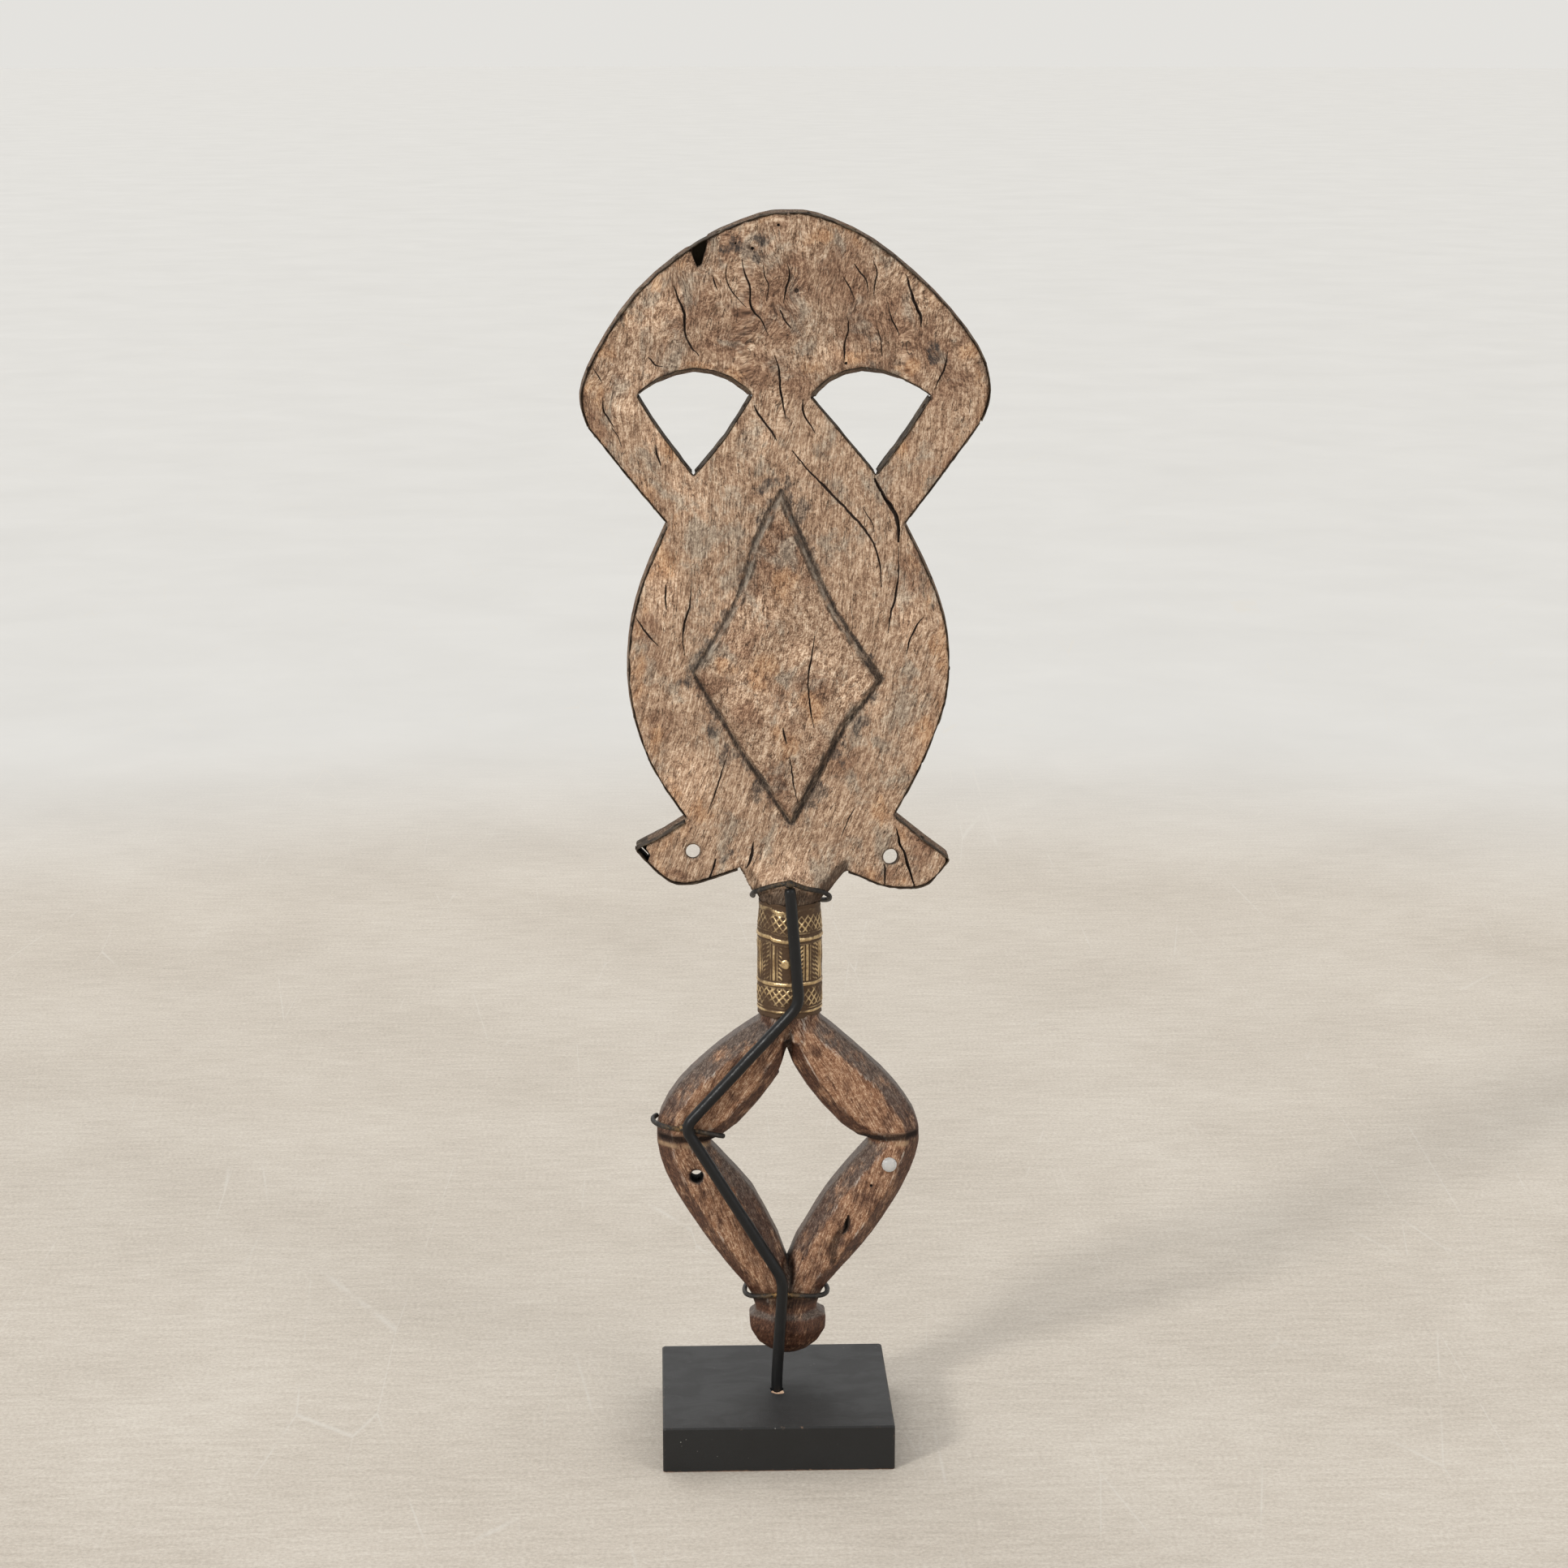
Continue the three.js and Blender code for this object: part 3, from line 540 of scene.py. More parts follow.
def wood_material():
    """Weathered brown wood on the head, handled and half polished on the legs."""
    s = Shader("aged_wood")
    flow = s.vector("flow")
    streak = s.noise((1.1, 1.6, 16), 4, 0.6, vector=flow)
    fibre = s.noise((0.5, 0.7, 4.2), 3, 0.6, vector=flow)
    speck = s.noise((0.8, 0.8, 1.1), 3, 0.75, vector=flow)
    mottle = s.noise((3.0, 3.0, 4.4), 4, 0.7, 0.5, vector=flow)
    blotch = s.noise((11, 11, 15), 5, 0.62, 0.4)
    streaky = s.add(s.mul(streak, 0.28), s.mul(fibre, 0.27), s.mul(speck, 0.23), s.mul(mottle, 0.22))
    spotted = s.add(s.mul(streak, 0.10), s.mul(fibre, 0.18), s.mul(speck, 0.34), s.mul(mottle, 0.38))
    spotted = s.math("MULTIPLY_ADD", spotted, 1.4, -0.2)
    grain = s.node("ShaderNodeMix", {0: s.attribute("mottled"), 2: streaky, 3: spotted}).outputs[0]

    # The head: grey-tan, with grime, brown weathering and orange where it is rubbed.
    tan = s.ramp(grain, [(0.37, (0.085, 0.048, 0.028)), (0.455, (0.255, 0.152, 0.094)),
                         (0.515, (0.46, 0.305, 0.20)), (0.60, (0.78, 0.60, 0.44))])
    brown, orange, grey = [s.ramp(grain, list(zip((0.37, 0.46, 0.525, 0.62), tones))) for tones in (
        ((0.045, 0.024, 0.015), (0.155, 0.082, 0.050), (0.29, 0.165, 0.100), (0.55, 0.37, 0.245)),
        ((0.11, 0.045, 0.020), (0.33, 0.165, 0.082), (0.53, 0.31, 0.17), (0.72, 0.50, 0.32)),
        ((0.060, 0.050, 0.040), (0.20, 0.165, 0.130), (0.34, 0.29, 0.225), (0.60, 0.52, 0.42)))]
    patch = s.swing(mottle, 2.0)
    broad = s.add(s.swing(blotch, 2.4), s.swing(s.noise((34, 20, 48), 4, 0.6), 2.2))
    dull = s.add(s.attribute("shade"), broad, s.mul(patch, 0.6))
    head = s.mix(s.range(dull, 0.15, 0.75, 0, 0.9), tan, brown)
    ashen = s.add(s.noise((19, 19, 26), 5, 0.65, 0.5), s.mul(patch, 0.08))
    head = s.mix(s.range(ashen, 0.50, 0.66, 0, 0.65), head, grey)
    glow = s.add(s.attribute("warm"), s.mul(patch, 0.45), s.swing(s.noise((8, 8, 13), 4, 0.65), 2.0))
    glow = s.mul(s.range(glow, 0.25, 0.95, 0, 0.75), s.range(s.attribute("warm"), 0.0, 0.3))
    head = s.mix(glow, head, orange)
    paler = s.add(s.attribute("pale"), s.mul(patch, 0.4))
    head = s.brighten(head, s.range(paler, 0.1, 0.9, 1.0, 1.26))
    grime = s.add(s.attribute("grime"), s.swing(s.noise((5, 5, 7), 5, 0.75), 2.6))
    grime = s.mul(s.range(grime, 0.38, 0.80), s.range(s.attribute("grime"), 0.02, 0.25))
    head = s.mix(s.mul(grime, s.range(grain, 0.42, 0.58, 0.88, 0.5)), head, (0.050, 0.043, 0.040))
    fissure = s.noise((2.3, 2.6, 17), 2, 0.5, 0.2, vector=flow)
    fissure = s.math("ABSOLUTE", s.math("SUBTRACT", fissure, 0.5))
    fissure = s.mul(s.range(fissure, 0.002, 0.010, 1, 0), s.range(s.noise((7, 7, 9), 3, 0.6), 0.42, 0.55))
    head = s.mix(s.mul(fissure, 0.75), head, (0.040, 0.024, 0.016))
    # Painted highlight: the lozenge chamfer's upper sides, which face the light, painted grey.
    head = s.mix(s.mul(s.attribute("bevel"), s.range(fibre, 0.35, 0.65, 0.6, 1.0)), head,
                 s.ramp(mottle, [(0.40, (0.13, 0.112, 0.088)), (0.60, (0.36, 0.33, 0.275))]))
    # Painted shade: dark in the lozenge's crease, under its lower sides, on the neck above the sleeve and
    # down the edge beside it.
    head = s.mix(s.mul(s.attribute("crease_shade"), s.range(fibre, 0.35, 0.65, 0.97, 0.7)), head,
                 (0.028, 0.020, 0.015))
    # Painted shade: dark on the plank's side walls, round the holes, on the neck above the sleeve and along
    # the edges beside it.
    head = s.mix(s.mul(s.attribute("rim"), s.range(fibre, 0.35, 0.6, 0.9, 0.5)), head,
                 (0.05, 0.030, 0.019))

    # Legs and foot: nearly black red-brown, grey on top from dust and a painted sheen, worn to orange tan
    # on the flats.
    dark = s.ramp(grain, [(0.37, (0.014, 0.006, 0.0035)), (0.47, (0.052, 0.020, 0.0105)),
                          (0.56, (0.130, 0.058, 0.033)), (0.64, (0.26, 0.15, 0.095))])
    dust_and_sheen = s.ramp(grain, [(0.37, (0.026, 0.019, 0.015)), (0.48, (0.084, 0.060, 0.046)),
                           (0.58, (0.21, 0.165, 0.133)), (0.66, (0.38, 0.33, 0.28))])
    worn = s.ramp(grain, [(0.36, (0.060, 0.021, 0.010)), (0.45, (0.20, 0.092, 0.048)),
                          (0.52, (0.35, 0.19, 0.108)), (0.60, (0.66, 0.47, 0.32))])
    # The faces that look up turn grey, partly dust and partly a painted sheen.
    leg = s.mix(s.range(s.add(s.upward(), s.mul(patch, 0.35)), 0.10, 0.65, 0, 0.85), dark, dust_and_sheen)
    rubbed = s.add(s.attribute("worn"), s.swing(s.noise((9, 9, 15), 5, 0.62), 2.6), s.swing(streak, 1.0))
    leg = s.mix(s.range(rubbed, 0.15, 1.05), leg, worn)
    # The pale line along the arrises is partly wear and partly a painted highlight.
    glint = s.mul(s.attribute("rubbed"), s.range(s.add(streak, s.mul(mottle, 0.6)), 0.76, 0.92))
    leg = s.mix(s.mul(glint, 0.85), leg, (0.46, 0.41, 0.36))
    # Painted highlight: a pale line on the shin's lip just below each knee ring.
    leg = s.mix(s.mul(s.attribute("lip"), 0.8), leg, (0.36, 0.24, 0.14))
    # Painted shade: near-black in the knee rings, the clefts between the legs, under the ankle clip, in the
    # gouge and inside the shin's bore.
    leg = s.mix(s.mul(s.attribute("recess_shade"), 0.92), leg, (0.008, 0.005, 0.004))
    colour = s.mix(s.attribute("leg"), head, leg)

    polish = s.range(rubbed, 0.4, 0.9, 0.42, 0.16)
    roughness = s.math("SUBTRACT", 0.88, s.mul(s.attribute("leg"), polish))
    roughness = s.math("MAXIMUM", roughness, s.attribute("recess_shade"))
    relief = s.math("SUBTRACT", grain, s.mul(fissure, 0.5))
    depth = s.range(s.attribute("leg"), 0, 1, 1.0, 0.45)
    return s.finish(colour, roughness, s.bump(relief, 1.3, depth), Specular_IOR_Level=0.3)


def crack_shade_material():
    # Painted shade: the near-black lining of the cracks, insect holes and broken notch stands in for the
    # shade deep inside them.
    s = Shader("painted_crack_shade")
    grain = s.noise((0.8, 0.8, 5.0), 3, 0.6)
    colour = s.ramp(grain, [(0.35, (0.012, 0.007, 0.005)), (0.65, (0.055, 0.032, 0.02))])
    return s.finish(colour, 0.95, s.bump(grain, 0.4))


def bare_wood_material():
    s = Shader("fresh_chip")
    grain = s.noise((0.5, 3.5, 0.6), 3, 0.6)
    colour = s.ramp(grain, [(0.35, (0.38, 0.21, 0.12)), (0.5, (0.62, 0.40, 0.26)),
                            (0.65, (0.74, 0.54, 0.38))])
    return s.finish(colour, 0.85, s.bump(grain, 0.4))


def brass_material(name, dark, bright, patina, polish):
    """Beaten sheet: bright on what is raised, dark and dull in the hollows."""
    s = Shader(name)
    cloud = s.noise(9, 5, 0.62, 0.4)
    fine = s.noise(1.3, 3, 0.6)
    height = s.add(s.attribute("raised"), s.swing(cloud, 1.0))
    shine = s.range(height, 0.30, 0.85)
    metal = s.ramp(s.add(s.mul(cloud, 0.6), s.mul(fine, 0.4)), [(0.34, dark), (0.62, bright)])
    colour = s.mix(shine, patina, metal)
    spots = s.range(s.noise(2.6, 4, 0.7), 0.60, 0.72)
    colour = s.mix(s.mul(spots, 0.7), colour, tuple(v * 0.5 for v in patina))
    roughness = s.add(s.range(shine, 0, 1, 0.62, polish), s.swing(fine, 0.25))
    metallic = s.range(shine, 0, 1, 0.45, 0.95)
    normal = s.bump(s.add(s.mul(fine, 0.5), s.noise(3.2, 3, 0.5)), 0.22)
    return s.finish(colour, roughness, normal, Metallic=metallic)


def dark_strip_material():
    s = Shader("dark_strip")
    cloud = s.noise(7, 5, 0.65, 0.5)
    fine = s.noise(0.9, 3, 0.6)
    colour = s.ramp(cloud, [(0.36, (0.026, 0.019, 0.014)), (0.52, (0.065, 0.047, 0.033)),
                            (0.66, (0.15, 0.115, 0.075))])
    pale = s.range(s.noise((4, 4, 9), 5, 0.72), 0.58, 0.72)
    colour = s.mix(s.mul(pale, 0.75), colour, (0.25, 0.235, 0.20))
    roughness = s.range(fine, 0.3, 0.7, 0.62, 0.85)
    return s.finish(colour, roughness, s.bump(s.add(cloud, fine), 0.3), Metallic=0.12,
                    Specular_IOR_Level=0.08)


def iron_material():
    s = Shader("iron")
    rust = s.noise(1.6, 4, 0.65)
    colour = s.ramp(rust, [(0.38, (0.022, 0.018, 0.016)), (0.55, (0.06, 0.038, 0.026)),
                           (0.70, (0.17, 0.075, 0.035))])
    return s.finish(colour, s.range(rust, 0.4, 0.65, 0.45, 0.8), s.bump(rust, 0.35), Metallic=0.6)


def rod_material():
    s = Shader("black_steel")
    flow = s.noise((2.2, 2.2, 7), 3, 0.5)
    fine = s.noise(0.7, 2, 0.5)
    scuff = s.range(s.noise((0.8, 0.8, 5), 4, 0.7), 0.66, 0.74)
    colour = s.mix(s.mul(scuff, 0.5), (0.0065, 0.0065, 0.0068), (0.07, 0.06, 0.052))
    roughness = s.range(flow, 0.35, 0.65, 0.33, 0.44)
    normal = s.bump(s.add(s.mul(flow, 1.5), s.mul(fine, 0.3)), 0.14)
    return s.finish(colour, roughness, normal, Specular_IOR_Level=0.3)


def wire_material():
    """Brown-black wire, its braze beads showing gold where the file went over them."""
    s = Shader("clip_wire")
    cloud = s.noise(2.2, 4, 0.6)
    fine = s.noise(0.5, 3, 0.6)
    colour = s.ramp(cloud, [(0.36, (0.008, 0.007, 0.006)), (0.56, (0.024, 0.019, 0.015)),
                            (0.72, (0.085, 0.068, 0.05))])
    gold = s.mul(s.attribute("gold"), s.range(s.noise(1.4, 3, 0.6), 0.42, 0.55))
    colour = s.mix(gold, colour, (0.55, 0.33, 0.13))
    metallic = s.range(gold, 0, 1, 0.25, 0.85)
    return s.finish(colour, s.range(fine, 0.3, 0.7, 0.36, 0.6), s.bump(s.add(cloud, fine), 0.3),
                    Metallic=metallic)


def block_material():
    """Matt black paint, rubbed thin and specked with dust, with bare wood where the bottom edge is knocked;
    the faces that do not look up are painted darker as shade.
    """
    s = Shader("black_block")
    smear = s.noise((26, 17, 26), 4, 0.6, 0.6)
    fine = s.noise(0.5, 2, 0.6)
    colour = s.ramp(smear, [(0.35, (0.0105, 0.0103, 0.0100)), (0.65, (0.0205, 0.0198, 0.0190))])
    # Painted shade: the faces that do not look up are painted darker than the top.
    colour = s.mix(s.range(s.upward(), 0.4, 0.9, 0.78, 0), colour, (0.002, 0.002, 0.002))
    dust = s.cells(3.6)
    dots = s.mul(s.range(dust, 0.045, 0.10, 1, 0), s.range(s.noise(17, 3, 0.6), 0.52, 0.66))
    colour = s.mix(s.mul(dots, 0.75), colour, (0.32, 0.31, 0.28))
    scratch = s.noise((0.5, 0.5, 9), 3, 0.75, 0.6, vector=s.by_axis("ADD", s.mm, (3.0, 8.0, 0.0)))
    marks = s.mul(s.range(scratch, 0.68, 0.76), s.range(s.noise(22, 2, 0.5), 0.52, 0.62))
    colour = s.mix(s.mul(marks, 0.45), colour, (0.16, 0.155, 0.145))
    low = s.range(s.add(s.axis("Z"), s.mul(s.noise((5, 5, 2), 3, 0.7), 1.6)), 1.0, 1.5, 1, 0)
    colour = s.mix(s.mul(low, 0.8), colour, (0.20, 0.105, 0.06))
    inset = [s.math("SUBTRACT", 60, s.math("ABSOLUTE", s.axis(axis))) for axis in "XY"]
    inset.append(s.math("SUBTRACT", 12, s.math("ABSOLUTE", s.math("SUBTRACT", s.axis("Z"), 12))))
    second = s.math("MAXIMUM", s.math("MINIMUM", inset[0], inset[1]),
                    s.math("MINIMUM", s.math("MAXIMUM", inset[0], inset[1]), inset[2]))
    corner = s.mul(s.range(second, 0.3, 1.6, 1, 0), s.range(s.noise(4.5, 4, 0.7), 0.60, 0.70))
    colour = s.mix(corner, colour, (0.16, 0.095, 0.06))
    roughness = s.range(smear, 0.35, 0.65, 0.50, 0.62)
    return s.finish(colour, roughness, s.bump(s.add(fine, s.mul(smear, 2.0)), 0.12),
                    Specular_IOR_Level=0.5)


def clear_material():
    s = Shader("clear_rubber")
    haze_and_sheen = s.noise(1.6, 3, 0.6)
    # Painted reflection, in part: the dot is coloured milky white to stand for the bright highlights on the
    # clear rubber.
    colour = s.ramp(haze_and_sheen, [(0.35, (0.88, 0.89, 0.87)), (0.65, (0.97, 0.97, 0.96))])
    return s.finish(colour, s.range(haze_and_sheen, 0.4, 0.7, 0.05, 0.18), s.bump(haze_and_sheen, 0.15),
                    IOR=1.5, Transmission_Weight=0.6)


def floor_material():
    """Pale worn screed, warm near the object and paler far off."""
    s = Shader("floor")
    flat = s.by_axis("MULTIPLY", s.mm, (1, 1, 0))
    away = s.node("ShaderNodeVectorMath", {0: flat}, operation="LENGTH").outputs["Value"]
    cloud = s.noise(210, 5, 0.6, 0.3)
    brushed = s.noise((30, 5, 8), 4, 0.65)
    grit = s.noise(2.2, 4, 0.75)
    near = s.ramp(s.add(s.mul(cloud, 0.22), s.mul(grit, 0.53), s.mul(brushed, 0.25)), [
        (0.36, (0.50, 0.44, 0.365)), (0.50, (0.645, 0.578, 0.492)), (0.62, (0.76, 0.70, 0.61))])
    far = s.ramp(cloud, [(0.30, (0.725, 0.71, 0.675)), (0.70, (0.765, 0.75, 0.715))])
    colour = s.mix(s.range(away, FLOOR["near"], FLOOR["far"]), near, far)
    chips = s.range(s.noise((7, 4, 4), 5, 0.7), 0.70, 0.76)
    colour = s.mix(s.mul(chips, 0.4), colour, (0.42, 0.35, 0.28))
    scratch = s.mul(s.range(s.cells((70, 700, 70), "DISTANCE_TO_EDGE"), 0.0, 0.006, 0.5, 0),
                    s.range(s.noise(160, 4, 0.6), 0.50, 0.62))
    colour = s.mix(scratch, colour, (0.76, 0.72, 0.65))
    return s.finish(colour, 0.85, s.bump(grit, 0.25))


# ---------------------------------------------------------------- the carved plank
# Drying cracks in the bare back: ((x, z) points in millimetres, width, depth).
HEAD_CRACKS = [
    ([(31, 610), (30, 606), (28.5, 603)], 0.7, 1.6),
    ([(23.5, 616), (24, 609), (22, 603), (18, 598), (14, 594)], 0.7, 1.8),
    ([(16.5, 618), (15, 611), (12.5, 605), (12, 596), (10, 592), (6, 587), (3, 580)], 1.1, 2.8),
    ([(5.5, 615), (5, 610), (3, 605), (4, 597)], 0.7, 1.8),
    ([(-6, 617), (-8, 610), (-5.5, 602), (-4.5, 596)], 0.9, 2.2),
    ([(-3, 593), (-4.5, 588.5), (-8.5, 583.5)], 1.0, 2.4),
    ([(50, 605), (47.5, 597.5), (45, 591), (45, 581), (42.5, 575), (38, 570)], 1.2, 2.8),
    ([(63.5, 569.5), (60, 565.5), (56, 564.5)], 0.7, 1.5),
    ([(91.5, 565.5), (90, 562), (86.5, 556.5)], 0.7, 1.4),
    ([(86.5, 549.5), (86, 543), (83.5, 538.5), (81, 534)], 0.8, 1.8),
    ([(82, 534), (79, 529), (77, 524)], 0.6, 1.2),
    ([(60, 525), (59, 519), (57.5, 514.5)], 0.9, 1.8),
    ([(0, 570), (-2, 563), (-3, 554), (-4.5, 545), (-6, 538)], 1.0, 2.6),
    ([(10.5, 545.5), (7, 539), (2, 532), (-1, 527)], 1.2, 2.8),
    ([(-14, 548), (-14.5, 541.5), (-18, 535.5), (-20.5, 530.5)], 1.0, 2.4),
    ([(-40, 616), (-43, 611), (-46, 607), (-47, 602)], 0.8, 1.8),
    ([(-49.5, 618), (-51.5, 611), (-50, 604), (-49.5, 599)], 0.8, 1.8),
    ([(-66, 610), (-68, 602.5), (-70.5, 596), (-73.5, 590), (-74, 584)], 1.5, 3.4),
    ([(-34.5, 609.5), (-37.5, 604), (-40, 598)], 0.8, 1.8),
    ([(-36.5, 589.5), (-37, 582), (-35.5, 575), (-35, 566)], 1.0, 2.4),
    ([(-52, 583), (-53.5, 577), (-54, 569.5)], 0.7, 1.6),
    ([(-56.5, 597.5), (-59, 588.5), (-63, 580)], 0.7, 1.6),
    ([(-87.5, 572), (-85, 562), (-81, 553)], 0.8, 1.8),
    ([(-51, 508), (-56, 498), (-61, 490), (-62.5, 484), (-63, 475)], 2.3, 6.0),
    ([(-63, 473), (-63, 457), (-62, 448), (-59.5, 438), (-58, 428)], 0.9, 2.0),
    ([(-9, 522), (-16.5, 513), (-23.5, 505.5), (-32, 496.5), (-43, 484.5), (-49, 476.5), (-52, 469.5),
      (-54, 461), (-54.5, 452)], 1.3, 3.0),
    ([(-44.5, 493), (-48.5, 487), (-50.5, 482)], 0.6, 1.2),
    ([(55.5, 454), (56, 447), (55, 441)], 1.0, 2.0),
    ([(42.5, 454), (43, 443), (46, 434), (47, 424), (46, 417)], 0.9, 2.0),
    ([(71, 437), (66.5, 430.5), (59, 422)], 0.9, 1.8),
    ([(-76.5, 436.5), (-72, 431), (-69, 424), (-67.5, 417)], 0.9, 1.8),
    ([(-63, 325.5), (-64.6, 318), (-67.2, 313), (-69.5, 305), (-73, 292)], 1.3, 5.0),
    ([(-56.8, 307), (-57, 301), (-57.5, 294)], 1.2, 3.0),
    ([(11, 319), (12, 312), (15, 305)], 1.5, 2.2),
    ([(30.5, 310.5), (32.5, 303), (33.5, 298)], 1.6, 2.4),
    ([(24, 366), (27.5, 355.5), (31, 345), (34.5, 334)], 0.7, 1.0),
    ([(-41.5, 337), (-38, 330), (-34.5, 321.5)], 0.7, 1.0),
]
RELIEF_CRACKS = [
    ([(-20.5, 427.5), (-19, 417.5), (-17, 408), (-17, 400), (-18, 391.5), (-20, 380)], 0.9, 2.0),
    ([(-4, 380), (-6, 371.5)], 1.1, 1.8),
    ([(-7.5, 364.5), (-9.5, 351), (-12, 340)], 0.8, 1.6),
]
LEG_CRACKS = [
    ([(-39, 117.5), (-37.5, 112.5), (-35.5, 107.5)], 2.4, 5.0),
    ([(47, 186), (50, 175)], 0.6, 1.2),
]
# Insect holes and lost knots: (x, z, back surface, radius, depth).
PITS = [
    (11, 623.5, BOARD_BACK, 0.9, 2.5), (19.5, 626, BOARD_BACK, 0.6, 1.5),
    (-2, 635, BOARD_BACK, 0.8, 1.5), (-11, 602.5, BOARD_BACK, 1.2, 0.9),
    (-36, 566, BOARD_BACK, 0.8, 1.8), (-50.5, 134, LEG_BACK, 0.8, 2.5),
    (-14.5, 93.5, LEG_BACK, 0.6, 2.0),
]
# Holes drilled right through, (x, z, radius, back surface, fall toward the front per millimetre).
BORES = [
    (42.2, 314.4, 3.75, BOARD_BACK, 0.2),
    (-60.3, 310.7, 4.05, BOARD_BACK, 0.2),
    (41.2, 140.2, 3.45, LEG_BACK, 0.15),
]
# Patches on the back, (x, z, half width, half height): brown weathering, black grime, rubbed orange.
SHADE = [
    (20, 626, 11, 8), (4, 624, 9, 7), (-8, 608, 13, 15), (-37, 608, 15, 13), (-45, 587, 12, 10),
    (12, 590, 12, 8), (-9, 586, 9, 10), (-59, 593, 10, 12), (-80, 573, 8, 10), (-90, 553, 8, 10),
    (25, 578, 12, 8), (-13, 557, 7, 9), (6, 560, 8, 8), (-57, 300, 9, 5), (52, 303, 8, 4),
    (65, 340, 7, 9), (-4, 470, 8, 18), (14, 455, 6, 8), (-20, 400, 8, 14), (-2, 350, 8, 16),
    (12, 385, 7, 10), (-76, 313, 6, 7), (-69, 462, 9, 12), (88, 528, 7, 12), (33, 400, 6, 7),
    (62, 425, 8, 18), (56, 380, 8, 12), (66, 470, 6, 10),
]
GRIME = [
    (2, 504, 11, 5), (-14, 494, 6, 9), (-21, 464, 3, 8), (29, 380, 7, 7), (21, 365, 6, 8),
    (7, 350, 5, 9), (-19, 346, 9, 8), (-32, 365, 9, 9), (-42, 382, 6, 8), (-48, 408, 4, 8),
    (20, 624, 6, 4), (5, 626, 4, 4), (10, 617, 3, 3), (-80, 572, 5, 6), (-12, 335, 5, 5),
    (79, 588, 3, 5), (25, 311, 3, 4), (47, 402, 4, 5),
]
PALE = [
    (0, 304, 26, 14), (58, 450, 10, 20), (24, 430, 12, 20), (14, 400, 10, 12), (70, 555, 14, 14),
    (60, 590, 18, 14), (-17, 415, 14, 10), (-4, 395, 10, 10), (42, 500, 12, 16), (-45, 395, 12, 16),
    (8, 528, 8, 10), (45, 352, 14, 16), (-62, 545, 12, 12), (8, 440, 9, 12), (60, 530, 10, 16),
    (-68, 440, 8, 20), (-30, 570, 12, 6),
]
WARM = [
    (-23, 629, 8, 7), (-35, 634, 8, 4), (34, 567, 13, 3.5), (20, 562, 7, 4), (-18, 564, 6, 7),
    (-43, 571, 13, 3.5), (-68, 565, 8, 4), (90, 549, 5, 10), (85, 572, 4, 8), (-82, 604, 7, 6),
    (-98, 573, 5, 9), (68, 408, 4, 18), (64, 370, 6, 12), (-83, 420, 4, 18), (-78, 377, 6, 13),
    (55, 467, 8, 10), (55, 522, 6, 7), (-64, 522, 6, 6), (40, 335, 8, 7), (-53, 335, 8, 7),
    (-4, 452, 8, 9), (8, 408, 9, 9), (-18, 388, 8, 11), (-6, 372, 8, 12), (24, 412, 7, 6),
]
# The gouge down the right shin: points and how wide and deep it is at each.
GOUGE = [
    ((-37, 110), 2.5, 1.4), ((-34.5, 107.5), 3.6, 1.8), ((-32.5, 104), 4.4, 2.2),
    ((-31.2, 100), 4.2, 2.0), ((-31, 96), 3.8, 1.6), ((-31, 92), 3.0, 1.0),
]
# The broken tip of the left pendant, and the sharp corners of the space between the legs.
BROKEN_TIP = [(67.5, 323), (65.3, 319), (66.4, 316), (64.2, 312.5), (65.6, 309), (64.5, 304),
              (78, 300), (80, 322)]
UPPER_CORNER = [(-11.5, 194), (-1.4, 194), (-6.3, 208.3)]
LOWER_CORNER = [(-2.0, 103), (-12, 103), (-6.9, 88.8)]


def wedge_mesh(points, width, depth, level, seed):
    """A curved wedge, widest at the surface and pinched out at both ends, to cut a crack with."""
    path = resample(spline(points), 1.4)
    path += 0.22 * np.stack([line_noise(lengths(path), 2.6, seed + k) for k in (0, 1)], 1)
    along = np.linspace(0, 1, len(path))
    swell = np.sin(math.pi * np.clip(along, 0.04, 0.96)) ** 0.45
    swell = swell * (1 + 0.25 * line_noise(lengths(path), 4.0, seed + 2))
    side = sideways(tangents(path))
    vertices, faces = [], []
    above = 1.2  # how far the cutter stands out of the surface
    for k, ((x, z), (sx, sz), w) in enumerate(zip(path, side, swell)):
        reach = depth * w
        half = 0.5 * width * w * (reach + above) / reach
        lean = 0.25 * reach * math.sin(1.7 * k / len(path) * math.pi + seed)
        for shift, y in ((-half, level + above), (half, level + above), (lean, level - reach)):
            vertices.append((x + sx * shift, y, z + sz * shift))
        if k:
            a, b = 3 * k - 3, 3 * k
            faces += [(a, a + 1, b + 1, b), (a + 1, a + 2, b + 2, b + 1), (a + 2, a, b, b + 2)]
    faces += [(0, 2, 1), (3 * len(path) - 3, 3 * len(path) - 2, 3 * len(path) - 1)]
    return vertices, faces


def prism_mesh(loop, front, back):
    loop = np.asarray(loop, float)
    count = len(loop)
    vertices = [(x, y, z) for y in (front, back) for x, z in loop]
    faces = [(i, (i + 1) % count, (i + 1) % count + count, i + count) for i in range(count)]
    return vertices, faces + [range(count - 1, -1, -1), range(count, 2 * count)]


def gather(name, parts, materials=()):
    """One object from several (vertices, faces) parts."""
    vertices, faces = [], []
    for part_vertices, part_faces in parts:
        start = len(vertices)
        vertices.extend(part_vertices)
        faces.extend([start + i for i in face] for face in part_faces)
    return fix_normals(new_object(name, vertices, faces, materials))


def smooth_mesh(co, mesh, factor, times):
    edges = np.empty(len(mesh.edges) * 2, np.int32)
    mesh.edges.foreach_get("vertices", edges)
    a, b = edges.reshape(-1, 2).T
    count = np.bincount(a, minlength=len(co)) + np.bincount(b, minlength=len(co))
    for _ in range(times):
        total = np.stack([np.bincount(a, co[b, k], len(co)) + np.bincount(b, co[a, k], len(co))
                          for k in range(3)], 1)
        co = co + factor * (total / count[:, None] - co)
    return co


